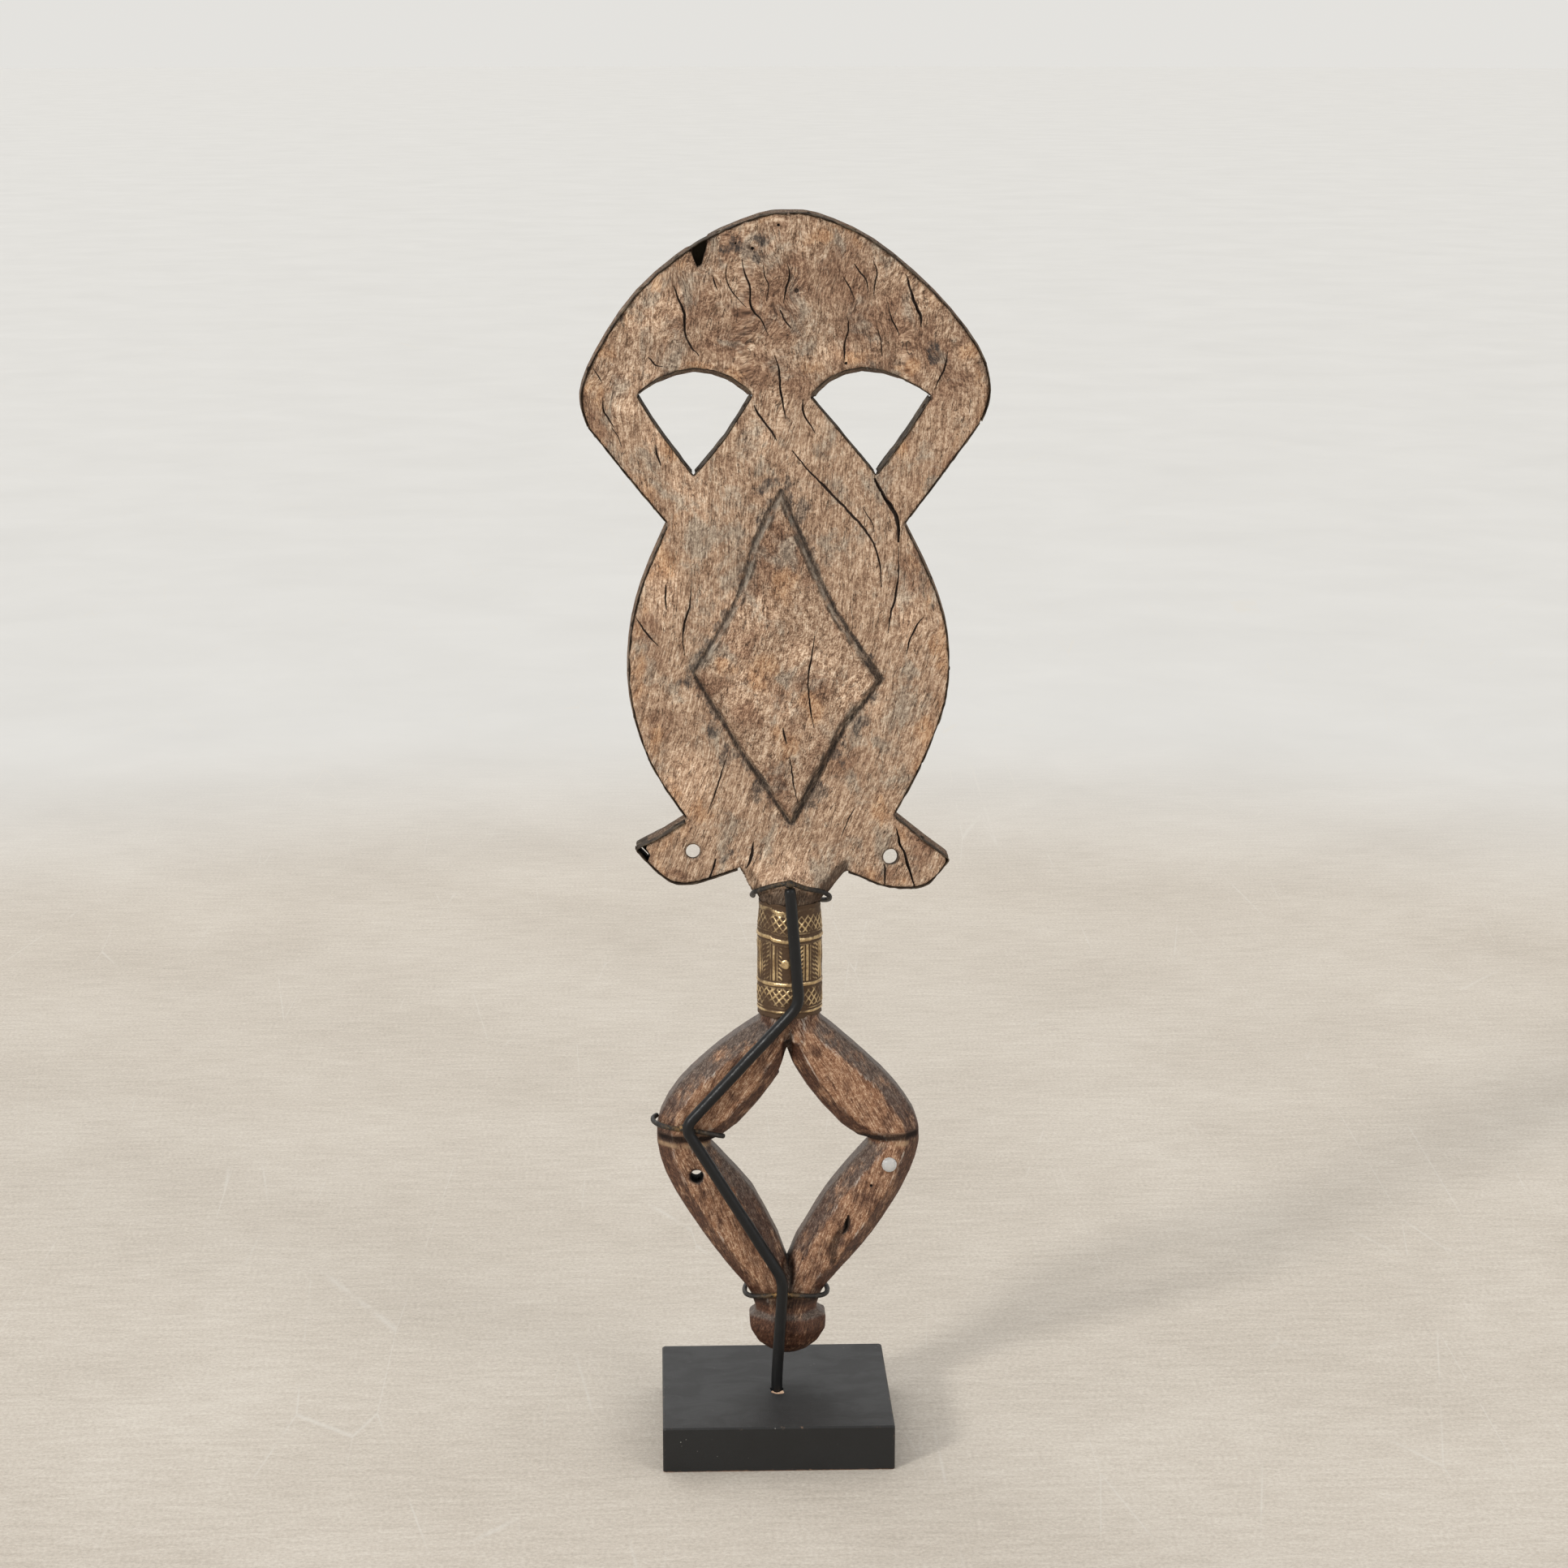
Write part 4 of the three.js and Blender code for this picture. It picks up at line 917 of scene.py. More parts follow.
def carve_lozenge(wood, lozenge, edge):
    """Slope the raised lozenge's sides and cut the ditch round it. Gives the new points back, and how
    much each one belongs to the carved edge."""
    co = smooth_mesh(coordinates(wood.data), wood.data, 0.5, 1)
    set_coordinates(wood.data, co)
    to_edge, _ = edge.near(co[:, [0, 2]])
    refine(wood, (to_edge < 4.0) & (co[:, 1] > BOARD_BACK - 2.5))
    co = coordinates(wood.data)
    to_edge, _ = edge.near(co[:, [0, 2]])
    deep = np.where(inside(co[:, [0, 2]], lozenge), to_edge, -to_edge)
    carved = BOARD_BACK + RELIEF_RISE * np.clip(deep / 2.3, 0, 1) - 0.8 * ridge(deep + 0.7, 1.3)
    on_edge = smoothstep(3.9, 3.0, to_edge) * (co[:, 1] > BOARD_BACK - 2.5)
    co[:, 1] += (carved - co[:, 1]) * on_edge
    set_coordinates(wood.data, co)
    return co, on_edge


def weather_wood(co, no, on_edge, near_rim, to_opening):
    """Hand carving, raised fibres, pits and worn edges, for points co with normals no. The wood also
    swells out to the strips at the rim and is kept inside the sleeve at the neck."""
    local = co - FIGURE
    x, y, z = local.T
    head = smoothstep(288, 294, z)
    legs = 1 - smoothstep(222, 227, z)
    open_air = np.maximum(legs, head * smoothstep(-6.0, -2.0, y))
    facing = no[:, 1]
    height = 0.26 * noise(local, (17, 17, 25), 1) + 0.12 * noise(local, (7, 7, 11), 2)
    height += 0.16 * noise(local, (2.6, 3.0, 15), 3) * np.where(z > 226, 1, 0.5)
    height -= 0.5 * smoothstep(0.5, 0.85, noise(local, (2.6, 2.6, 4), 5)) * head
    height *= 1 - 0.7 * on_edge
    height += 0.45 * head * smoothstep(0.75, 0.4, np.abs(facing)) * smoothstep(6, 4, near_rim)
    ragged = head * smoothstep(3.5, 1.0, near_rim) * smoothstep(4, 7, y)
    height -= 0.45 * ragged * smoothstep(-0.1, 0.7, noise(local, (5, 5, 6), 6))
    for (gx, gz), reach, depth in GOUGE:
        away = np.hypot(co[:, 0] - gx, (co[:, 2] - gz) * 0.8)
        height -= depth * smoothstep(reach, 0, away) * smoothstep(0, 8, y)
    cleft = smoothstep(200, 205, z) * smoothstep(224, 214, z)
    cleft = cleft + smoothstep(74, 80, z) * smoothstep(94, 89, z)
    height -= 2.2 * ridge(x - 1.4, 2.6) * cleft * smoothstep(0, 8, y)

    gap = np.minimum(near_rim, to_opening)
    level = np.hypot(no[:, 0], no[:, 2])
    at_rim = head * smoothstep(2.4, 1.8, gap) * (y > -6) * smoothstep(0.2, 0.55, level)
    spread = no[:, [0, 2]] / np.maximum(level, 0.01)[:, None] * ((gap + 0.2) * at_rim)[:, None]
    lift = (BOARD_HALF - 0.15 - y) * smoothstep(0.2, 0.5, facing) * at_rim * (y > BOARD_HALF - 2.2)
    co = co + no * (height * open_air * (1 - 0.8 * at_rim))[:, None]
    co[:, [0, 2]] += spread
    co[:, 1] += lift

    limit = SLEEVE["inner"] - 0.25 - 0.8 * smoothstep(268, 286, z) + 20 * smoothstep(286.6, 289.5, z)
    in_sleeve = (z > HIP_Z) & (z < 289.5) & (np.abs(x) < 24)
    narrow = np.where(in_sleeve, np.minimum(1, limit / np.hypot(x, y)), 1)
    co[:, :2] = FIGURE[:2] + (co[:, :2] - FIGURE[:2]) * narrow[:, None]
    return co


def drill(co, no):
    """Draw the walls of the bores onto true slanting cylinders."""
    for x0, z0, bore, level, fall in BORES:
        middle = np.array([x0, z0])[None] - np.outer(level - co[:, 1], (0, fall))
        spoke = co[:, [0, 2]] - middle
        away = np.linalg.norm(spoke, axis=1)
        wall = (away < bore + 1.1) & (np.abs(no[:, 1]) < 0.75)
        co[:, [0, 2]] = np.where(wall[:, None], middle + spoke * (bore / away)[:, None], co[:, [0, 2]])
    return co


def cut_wood(wood, own, crack_shade):
    """Cracks, insect holes, the broken tip and the sharp corners between the legs."""
    cuts = []
    for cracks, level in ((HEAD_CRACKS, BOARD_BACK), (RELIEF_CRACKS, BOARD_BACK + RELIEF_RISE),
                          (LEG_CRACKS, LEG_BACK)):
        for points, width, depth in cracks:
            cuts.append((wedge_mesh(points, width, depth, level, 10 * len(cuts)), crack_shade))
    for x0, z0, level, radius, depth in PITS:
        profile = [(0, -depth), (0.55 * radius, -0.8 * depth), (radius, 0), (1.4 * radius, 1.5), (0, 1.5)]
        cuts.append((turned_mesh(profile, np.array([x0, level, z0]), ALONG_Y, 10), crack_shade))
    cuts.append((prism_mesh(BROKEN_TIP, -30, 5), crack_shade))
    for corner in (UPPER_CORNER, LOWER_CORNER):
        cuts.append((prism_mesh(corner, -40, 20), own))
    for part, lining in cuts:
        combine(wood, gather("cut", [part], [lining]), "DIFFERENCE")


def build_wood():
    wood = cad_copy("wood_core", "wood_plank")
    loops = plane_loops(wood, BOARD_BACK)
    rim = Lines([without_arch(loops[0])], is_loop=False)
    lozenge = loops[1]
    large = [np.prod(np.ptp(loop, axis=0)) > 500 for loop in loops[2:]]
    openings = Lines([loop for loop, wide in zip(loops[2:], large) if wide])
    holes = Lines([loop for loop, wide in zip(loops[2:], large) if not wide])
    edge = Lines([lozenge])

    voxel_remesh(wood, WOOD_VOXEL)
    co, on_edge = carve_lozenge(wood, lozenge, edge)
    no = normals(wood.data)
    near_rim, _ = rim.near(co[:, [0, 2]])
    to_opening, _ = openings.near(co[:, [0, 2]])
    set_coordinates(wood.data, weather_wood(co, no, on_edge, near_rim, to_opening))
    set_coordinates(wood.data, drill(coordinates(wood.data), no))

    wood.data.materials.clear()
    wood.data.materials.append(wood_material())
    cut_wood(wood, wood.data.materials[0], crack_shade_material())
    thin_hidden(wood)
    wood.data.shade_smooth()
    paint_wood(wood.data, rim, holes, lozenge, edge)
    return place(wood, "figure", ["wood_core"])


def refine(obj, chosen):
    """Halve every edge whose two ends are chosen."""
    fine = bmesh.new()
    fine.from_mesh(obj.data)
    edges = [e for e in fine.edges if chosen[e.verts[0].index] and chosen[e.verts[1].index]]
    bmesh.ops.subdivide_edges(fine, edges=edges, cuts=1, use_grid_fill=True)
    fine.to_mesh(obj.data)
    fine.free()


def grain_flow(local):
    """Millimetres across, through and along the grain, which leans in the face, curls in the crescent
    and follows each leg."""
    x, y, z = local.T
    curl = smoothstep(*CRESCENT_Z, z)
    lean = 0.30 * np.minimum(z, 430) + 0.06 * np.maximum(z - 430, 0)
    across = x + lean + (5 + 8 * curl) * noise(local, (45, 30, 60), 41)
    across = across + (0.8 + 2.4 * curl) * noise(local, (9, 9, 12), 42)
    along = z + 5 * noise(local, (40, 30, 50), 43) + 2.0 * curl * noise(local, (9, 9, 12), 44)
    side = np.abs(x)
    thigh = (z > KNEE_Z) & (z < HIP_Z)
    shin = (z > ANKLE_Z) & (z <= KNEE_Z)
    across = np.where(thigh, 0.87 * side + 0.50 * z + 200 * (x < 0), across)
    along = np.where(thigh, 0.50 * side - 0.87 * z, along)
    across = np.where(shin, 0.94 * side - 0.34 * z + 200 * (x < 0), across)
    along = np.where(shin, 0.34 * side + 0.94 * z, along)
    waver = np.where(z < HIP_Z, 1.2 * noise(local, (14, 14, 22), 45), 0)
    finer = np.where(z < HIP_Z, 1.5, 1.0)
    return np.stack([(across + waver) * finer, y * finer, along * finer * 1.1], 1)


def thin_hidden(wood):
    """Fewer triangles on the front, under the sheets and inside the sleeve."""
    wood.data.calc_loop_triangles()
    total = len(wood.data.loop_triangles)
    if total <= WOOD_FACES:
        return
    co = coordinates(wood.data) - FIGURE
    in_front = (co[:, 2] > HIP_Z - 2) & (co[:, 1] < -1.0)
    hidden = in_front | ((co[:, 2] > HIP_Z) & (co[:, 2] < SLEEVE["top"] - 1.8))
    group = wood.vertex_groups.new(name="hidden")
    group.add(np.flatnonzero(hidden).tolist(), 1.0, "REPLACE")
    thin = wood.modifiers.new("thin", "DECIMATE")
    thin.ratio = WOOD_FACES / total
    thin.vertex_group = "hidden"
    thin.vertex_group_factor = 10
    apply_modifiers(wood)


def spots(flat, places, seed):
    """How strongly each (x, z) point lies in any of the soft patches (x, z, half width, half height)."""
    drift = 4.0 * np.stack([noise(in_plane(*flat.T), 9, seed + k) for k in (0, 1)], 1)
    total = np.zeros(len(flat))
    for x, z, wide, high in places:
        away = np.hypot((flat[:, 0] + drift[:, 0] - x) / wide, (flat[:, 1] + drift[:, 1] - z) / high)
        total = np.maximum(total, smoothstep(1.5, 0.3, away))
    return total


def paint_wood(mesh, rim, holes, lozenge, edge):
    """Where the wood is discoloured, rubbed or dirty, and where shade and highlights are painted on it,
    stored on its vertices for the material.
    """
    co = coordinates(mesh)
    no = normals(mesh)
    flat = co[:, [0, 2]]
    local = co - FIGURE
    x, y, z = local.T
    to_rim, _ = rim.near(flat)
    to_hole, _ = holes.near(flat)
    to_edge, _ = edge.near(flat)
    in_lozenge = inside(flat, lozenge)
    back = no[:, 1]
    blot = noise(local, (11, 11, 14), 21)
    small = noise(local, (3.2, 3.2, 4.5), 22)

    mask(mesh, "leg", 1 - smoothstep(225, 232, z))
    curved = smoothstep(525, 565, z)
    flow = mesh.attributes.new("flow", "FLOAT_VECTOR", "POINT")
    flow.data.foreach_set("vector", grain_flow(local).astype(np.float32).ravel())
    mask(mesh, "mottled", np.maximum(0.25 + 0.45 * curved, 0.85 * in_lozenge))
    top = smoothstep(440, 480, z) * in_lozenge
    mask(mesh, "shade", 0.75 * spots(flat, SHADE, 23) + 0.25 * curved + 0.8 * top + 0.12 * in_lozenge)
    mask(mesh, "pale", spots(flat, PALE, 29))
    rim_warm = smoothstep(8, 1, to_rim) * smoothstep(-0.5, 0.3, blot) * 0.5
    mask(mesh, "warm", np.maximum(0.8 * spots(flat, WARM, 25), rim_warm))

    # The chamfer round the raised lozenge: painted grey as a highlight where it faces up and the light
    # falls on it, painted black as shade in its crease and along its lower sides.
    deep = np.where(in_lozenge, to_edge, -to_edge)
    uphill = smoothstep(408, 424, z)
    on_back = y > BOARD_HALF - 1.5
    slope = smoothstep(1.5, 0.7, np.abs(deep - 1.0)) * uphill
    mask(mesh, "bevel", on_back * 0.85 * slope * smoothstep(-0.9, 0.3, small))
    # Painted shade: dark lines in the crease round the lozenge and inside the top of the chamfer, and a
    # wider dark band under its lower sides.
    line = smoothstep(1.4, 0.5, np.abs(deep + 0.6)) * (0.6 + 0.4 * smoothstep(-0.4, 0.4, small))
    line = line * np.where(x > 0, 1 - 0.15 * uphill, 1)
    below = np.where(x > 0, 0.65 * smoothstep(1.7, 0.6, np.abs(deep - 0.5)),
                     smoothstep(3.6, 1.5, np.abs(deep - 0.9)))
    below = below * (1 - uphill) * smoothstep(-0.9, 0.3, small)
    inner_line = 0.9 * smoothstep(0.9, 0.4, np.abs(deep - 2.6)) * uphill * smoothstep(-0.5, 0.3, small)
    # Painted shade: a dark band on the neck just above the sleeve, and down the plank's edge on the side
    # away from the light.
    neck = smoothstep(296, 291, z + 2.0 * small) * smoothstep(280, 283, z)
    neck_edge = smoothstep(3.6, 1.8, to_rim) * smoothstep(314, 306, z) * (x < 0) * (x > -30) * (z > 283)
    mask(mesh, "crease_shade", np.maximum.reduce([on_back * line, on_back * below, on_back * inner_line,
                                            0.85 * neck, 0.8 * neck_edge]))

    # Dirt gathers in the hollow round the raised lozenge and in dark smears beside it.
    hollow = smoothstep(3.4, 0.8, to_edge) * ~in_lozenge
    halo = 0.65 * smoothstep(9.5, 1.5, to_edge) * smoothstep(-0.6, 0.3, blot) * ~in_lozenge
    mask(mesh, "grime", np.maximum.reduce([0.8 * hollow, halo, 0.85 * spots(flat, GRIME, 27)]) * (deep < 2))

    # Painted shade: the plank's side walls, the rims of the holes, the neck above the sleeve and the
    # plank's edges beside the neck are painted dark.
    wall = smoothstep(0.72, 0.35, back)
    mask(mesh, "rim", np.maximum.reduce([
        wall * (y < BOARD_HALF - 1.3) * (z > 286),
        smoothstep(1.8, 0.3, to_hole),
        smoothstep(296, 291, z + 2.5 * small) * smoothstep(-0.9, 0.1, small),
        smoothstep(3.6, 1.8, to_rim) * smoothstep(312, 304, z) * (x < 0) * (x > -30),
        0.7 * smoothstep(3.0, 1.5, to_rim) * smoothstep(312, 304, z) * (x > 0) * (x < 27),
    ]))

    # Legs: the flats that face the back are worn, the arrises beside them rubbed pale, partly wear and
    # partly a painted highlight.
    flats = smoothstep(0.55, 0.95, back) * smoothstep(60, 78, z)
    above_knee = 1 - 0.45 * smoothstep(200, 226, z)
    below_knee = np.where(z < 158, 0.72, 0.85)
    # On the foot, the warm patch on the faces turned to the back is partly wear and partly a painted
    # highlight.
    foot = 0.34 * (z < 66) * smoothstep(0.3, 0.9, back) * smoothstep(-0.5, 0.6, blot)
    mask(mesh, "worn", flats * above_knee * below_knee + foot)
    arris = smoothstep(0.72, 0.84, back) * smoothstep(0.985, 0.90, back) * (z > 68)
    mask(mesh, "rubbed", arris * smoothstep(-0.1, 0.5, noise(local, (6, 6, 16), 24)))
    knee = z - KNEE_RING["z"] - KNEE_RING["slope"] * (np.abs(x) - KNEE_RING["x"])
    on_knee = smoothstep(26, 34, np.abs(x)) * smoothstep(2, 8, y)
    # Painted highlight: a pale line on the shin's lip just below each knee ring, where it catches the
    # light.
    mask(mesh, "lip", on_knee * smoothstep(1.6, 0.5, np.abs(knee + 2.0)) * smoothstep(-0.6, 0.2, small))
    in_bore = np.hypot(x - SHIN_BORE[0], z - SHIN_BORE[1]) < 7
    gouge = 0
    for (gx, gz), reach, _ in GOUGE:
        away = np.hypot(co[:, 0] - gx, 0.8 * (co[:, 2] - gz))
        gouge = np.maximum(gouge, 0.8 * smoothstep(0.75 * reach, 0.3 * reach, away))
    # Painted shade: near-black in the knee rings, the clefts between the legs, under the ankle clip, in the
    # gouge and inside the shin's bore.
    mask(mesh, "recess_shade", np.maximum.reduce([
        on_knee * smoothstep(3.0, 1.0, np.abs(knee - 1.8)),
        0.8 * smoothstep(4, 1.5, np.abs(x - 1)) * smoothstep(98, 88, z) * (z > 66),
        0.7 * smoothstep(4, 0.5, np.abs(z - 70)),
        gouge * (y > 4),
        in_bore * smoothstep(0.9, 0.6, back) * (y < BOARD_HALF + 4.8),
        0.8 * smoothstep(3.2, 1.6, np.abs(x - 1.4)) * (z > 200) * smoothstep(222, 214, z) * (y > 2),
    ]))


# ---------------------------------------------------------------- edge strips
# CAD node, piece, and for the left and the right one: how torn it is and how proud of the board's back.
STRIPS = [
    ("crown_edge_", "crown_strip_", (0.7, 1.3), (0.8, 1.5)),
    ("strut_edge_", "wing_strip_", (0.6, 0.5), (0.6, 0.6)),
    ("cheek_edge_", "cheek_strip_", (0.6, 0.1), (0.9, 0.4)),
    ("pendant_edge_", "pendant_strip_", (0.5, 1.4), (0.7, 0.9)),
    ("arch_lining_", "arch_strip_", (0.3, 0.3), (0.3, 0.3)),
    ("face_lining_", "brow_strip_", (0.3, 0.0), (0.3, 0.0)),
    ("strut_lining_", "inner_strip_", (0.3, 0.0), (0.3, 0.6)),
]


def middle_line(loop):
    """The line down the middle of a strip's outline, which is two matching chains end to end."""
    count = len(loop) // 2
    gaps = np.linalg.norm(loop - np.roll(loop, -1, 0), axis=1)
    loop = np.roll(loop, -1 - int(np.argmin(gaps + np.roll(gaps, -count))), 0)
    return (loop[:count] + loop[count:][::-1]) / 2


def build_strip(node, name, material, seed, torn, proud):
    """A bent sheet strip on edge: dented, its back edge torn, pinned with small flat tacks.
    proud is how far its torn edge stands out from the back of the board."""
    copy = cad_copy(node, "outline")
    line = resample(middle_line(plane_loops(copy, STRIP["back"])[0]), 1.1)
    discard(copy)
    soft = line.copy()
    soft[1:-1] = (line[:-2] + 2 * line[1:-1] + line[2:]) / 4
    along = lengths(soft)
    out = sideways(tangents(soft))
    tear = torn * (0.9 * line_noise(along, 2.3, seed) + 0.9 * line_noise(along, 7.0, seed + 1)) - 0.5 * torn
    tear -= 2.2 * torn * smoothstep(0.45, 0.8, line_noise(along, 5.0, seed + 2))
    rows = 16
    across = np.linspace(0, 1, rows)
    back = BOARD_BACK + proud
    y = STRIP["front"] + (back - STRIP["front"]) * across[:, None] + np.outer(across ** 4, tear)
    flat = np.stack([np.repeat(along[None], rows, 0).ravel(), y.ravel(), 0 * y.ravel()], 1)
    dents = 0.16 * noise(flat, (6, 5, 1), seed + 3) + 0.10 * noise(flat, (2.4, 2.2, 1), seed + 4)
    dents = dents.reshape(rows, -1)
    grids = []
    for side in (1, -1):
        shift = dents + side * STRIP["thickness"] / 2
        x = soft[None, :, 0] + out[None, :, 0] * shift
        z = soft[None, :, 1] + out[None, :, 1] * shift
        grids.append(np.stack([x, y, z], -1))
    strip = gather(name, [sheet_mesh(*grids)], [material])
    for k in range(int(along[-1] // TACK_SPACING) + 1):
        i = int(np.searchsorted(along, min(along[-1] - 3, 5 + TACK_SPACING * k)))
        middle = np.array([soft[i, 0], FIGURE[1] + 3.5 + 1.2 * math.sin(seed + 3 * k), soft[i, 1]])
        for side in (1, -1):
            outward = np.array([out[i, 0], 0, out[i, 1]]) * side
            axes = ((0, 1, 0), np.cross(outward, (0, 1, 0)), outward)
            head = turned_mesh(TACK_PROFILE, middle + outward * 0.1, axes, 14)
            combine(strip, gather("tack", [head], [material]), "UNION")
    return place(strip, "figure", [node])


# ---------------------------------------------------------------- embossed sheets on the front
def fill_loops(loops, step):
    """Points and triangles that fill the area between the first loop and the others."""
    border = [resample(np.vstack([loop, loop[:1]]), step)[:-1] for loop in loops]
    low, high = border[0].min(0), border[0].max(0)
    xs = np.arange(low[0], high[0], step)
    zs = np.arange(low[1], high[1], step * 0.866)
    grid = np.array([(x + (0.5 * step if row % 2 else 0), z) for row, z in enumerate(zs) for x in xs])
    keep = inside(grid, border[0])
    for hole in border[1:]:
        keep &= ~inside(grid, hole)
    grid = grid[keep]
    edge = Lines(loops)
    grid = grid[edge.near(grid)[0] > 0.55 * step]
    points = np.vstack(border + [grid])
    edges, start = [], 0
    for loop in border:
        count = len(loop)
        edges += [(start + i, start + (i + 1) % count) for i in range(count)]
        start += count
    verts, _, triangles, *_ = delaunay_2d_cdt([Vector(p) for p in points], edges, [], 1, 1e-5)
    points = np.array([tuple(v) for v in verts])
    triangles = np.array([t for t in triangles if len(t) == 3])
    middle = points[triangles].mean(1)
    keep = inside(middle, border[0])
    for hole in border[1:]:
        keep &= ~inside(middle, hole)
    return points, triangles[keep], edge


def front_surface(flat, shift):
    """How far forward of the row frame's origin a sheet shifted off the plank lies at (x, z) points."""
    u, z = flat[:, 0] - FIGURE[0], flat[:, 1]
    bowl = 1 - (u / DISH["half_width"]) ** 2 - ((z - DISH["z"]) / DISH["half_height"]) ** 2
    return FIGURE[1] - BOARD_HALF - shift + DISH["depth"] * np.clip(bowl, 0, 1)


def border_pattern(away, along):
    beads = ridge(np.hypot(away - 3.7, np.mod(along, 2.8) - 1.4), 1.1)
    return np.maximum.reduce([0.7 * ridge(away - 1.7, 0.8), 0.6 * ridge(away - 5.7, 0.7), 0.75 * beads])


def crescent_pattern(u, z, away, along):
    chevrons = 0.55 * ridge(np.mod(z + 0.8 * np.abs(u), 4.2) - 2.1, 0.95) * (np.abs(u) < 9)
    rails = 0.7 * ridge(np.abs(u) - 10.2, 0.8)
    a, b = np.mod(u + z, 12.0) - 6, np.mod(u - z, 12.0) - 6
    lattice = np.maximum(0.6 * ridge(a, 0.9), 0.6 * ridge(b, 0.9))
    bosses = 0.75 * ridge(np.hypot(np.mod(u + z + 6, 12.0) - 6, np.mod(u - z + 6, 12.0) - 6), 2.4)
    field = np.where(np.abs(u) > 11.5, np.maximum(lattice, bosses), np.maximum(chevrons, rails))
    return np.where(away > 7.2, field, border_pattern(away, along))


def strut_pattern(u, z, away, along):
    a, b = np.mod(u + 0.7 * z, 6.0) - 3, np.mod(u - 0.7 * z, 6.0) - 3
    field = np.maximum(0.55 * ridge(a, 0.8), 0.55 * ridge(b, 0.8))
    return np.where(away > 4.2, field, 0.7 * ridge(away - 2.2, 1.0))


def strips_pattern(slope):
    """Narrow strips laid side by side, slanting down to the middle of the face."""
    def pattern(u, z, away, along):
        t = z + slope * np.abs(u)
        lap = np.mod(t, 3.6) / 3.6
        field = 0.38 * lap ** 0.7 + 0.12 * np.sin(np.abs(u) * 1.1 + 3 * np.floor(t / 3.6))
        return np.where(away > 2.6, np.clip(field, 0, 1), 0.55 * ridge(away - 1.4, 0.9))
    return pattern


def pendant_pattern(u, z, away, along):
    bars = 0.5 * ridge(np.mod(z + 0.25 * np.abs(u), 5.2) - 2.6, 1.0)
    dots = 0.7 * ridge(np.hypot(np.mod(z + 0.25 * np.abs(u), 5.2) - 0.4, np.mod(u, 3.2) - 1.6), 1.0)
    return np.where(away > 6.4, np.maximum(bars, dots), border_pattern(away, along))


def band_pattern(u, z, away, along):
    beads = 0.8 * ridge(np.hypot(away - 3.0, np.mod(along, 3.1) - 1.55), 1.15)
    return np.maximum.reduce([0.6 * ridge(away - 1.0, 0.8), beads, 0.5 * ridge(away - 6.4, 0.9)])


def build_sheet(node, name, shift, material, pattern, seed):
    """Thin sheet hammered to a relief; the mesh carries the relief and where it is raised."""
    points, triangles, edge = fill_loops(front_loops(node), SHEET_GRID)
    away, along = edge.near(points)
    relief = pattern(points[:, 0] - FIGURE[0], points[:, 1], away, along)
    tack = ridge(np.hypot(away - 3.7, np.mod(along, 19.0) - 9.5), 1.7)
    relief = np.maximum(relief, 0.85 * tack)
    flat = in_plane(*points.T)
    wear = 0.75 + 0.25 * noise(flat, 9, seed)
    buckle = 0.2 * noise(flat, 16, seed + 1) * smoothstep(0, 4, away)
    back = front_surface(points, shift - 0.15) - np.clip(buckle, -0.1, 0.3)
    front = back - 0.45 - relief * wear
    count = len(points)
    vertices = np.vstack([np.stack([points[:, 0], y, points[:, 1]], 1) for y in (front, back)])
    half = np.sort(np.vstack([triangles[:, [0, 1]], triangles[:, [1, 2]], triangles[:, [2, 0]]]), axis=1)
    lines, times = np.unique(half, axis=0, return_counts=True)
    walls = [(a, b, b + count, a + count) for a, b in lines[times == 1]]
    faces = triangles.tolist() + (triangles[:, ::-1] + count).tolist() + walls
    sheet = gather(name, [(vertices, faces)], [material])
    mask(sheet.data, "raised", np.concatenate([relief * wear * 0.9 + 0.1 * wear, 0 * relief]))
    return place(sheet, "figure", [node])


def build_nose(material):
    nose = voxel_remesh(cad_copy("nose_ridge", "nose_blade"), NOSE_VOXEL)
    co = smooth_mesh(coordinates(nose.data), nose.data, 0.5, 3)
    set_coordinates(nose.data, co)
    no = normals(nose.data)
    u, _, z = (co - FIGURE).T
    cuts = ridge(np.mod(z + 0.5 * np.abs(u), 3.4) - 1.7, 0.7) * smoothstep(0.6, 2.2, np.abs(u))
    set_coordinates(nose.data, co + no * (0.12 * noise(co, 3, 5) - 0.3 * cuts)[:, None])
    nose.data.materials.append(material)
    nose.data.shade_smooth()
    mask(nose.data, "raised", 0.75 - 0.6 * cuts)
    return place(nose, "figure", ["nose_ridge"])


def revolved_ring(rows, centre, sides):
    """A closed ring from rows of (radius, y) profile points; y may be one number per side."""
    angle = turns(sides)
    vertices = []
    for r, y in rows:
        ys = np.broadcast_to(np.asarray(y, float), (sides,))
        vertices.append(np.stack([centre[0] + r * np.cos(angle), ys, centre[1] + r * np.sin(angle)], 1))
    count = len(rows)
    faces = []
    for k in range(count):
        n = (k + 1) % count
        for i in range(sides):
            j = (i + 1) % sides
            faces.append((k * sides + i, k * sides + j, n * sides + j, n * sides + i))
    return np.vstack(vertices), faces


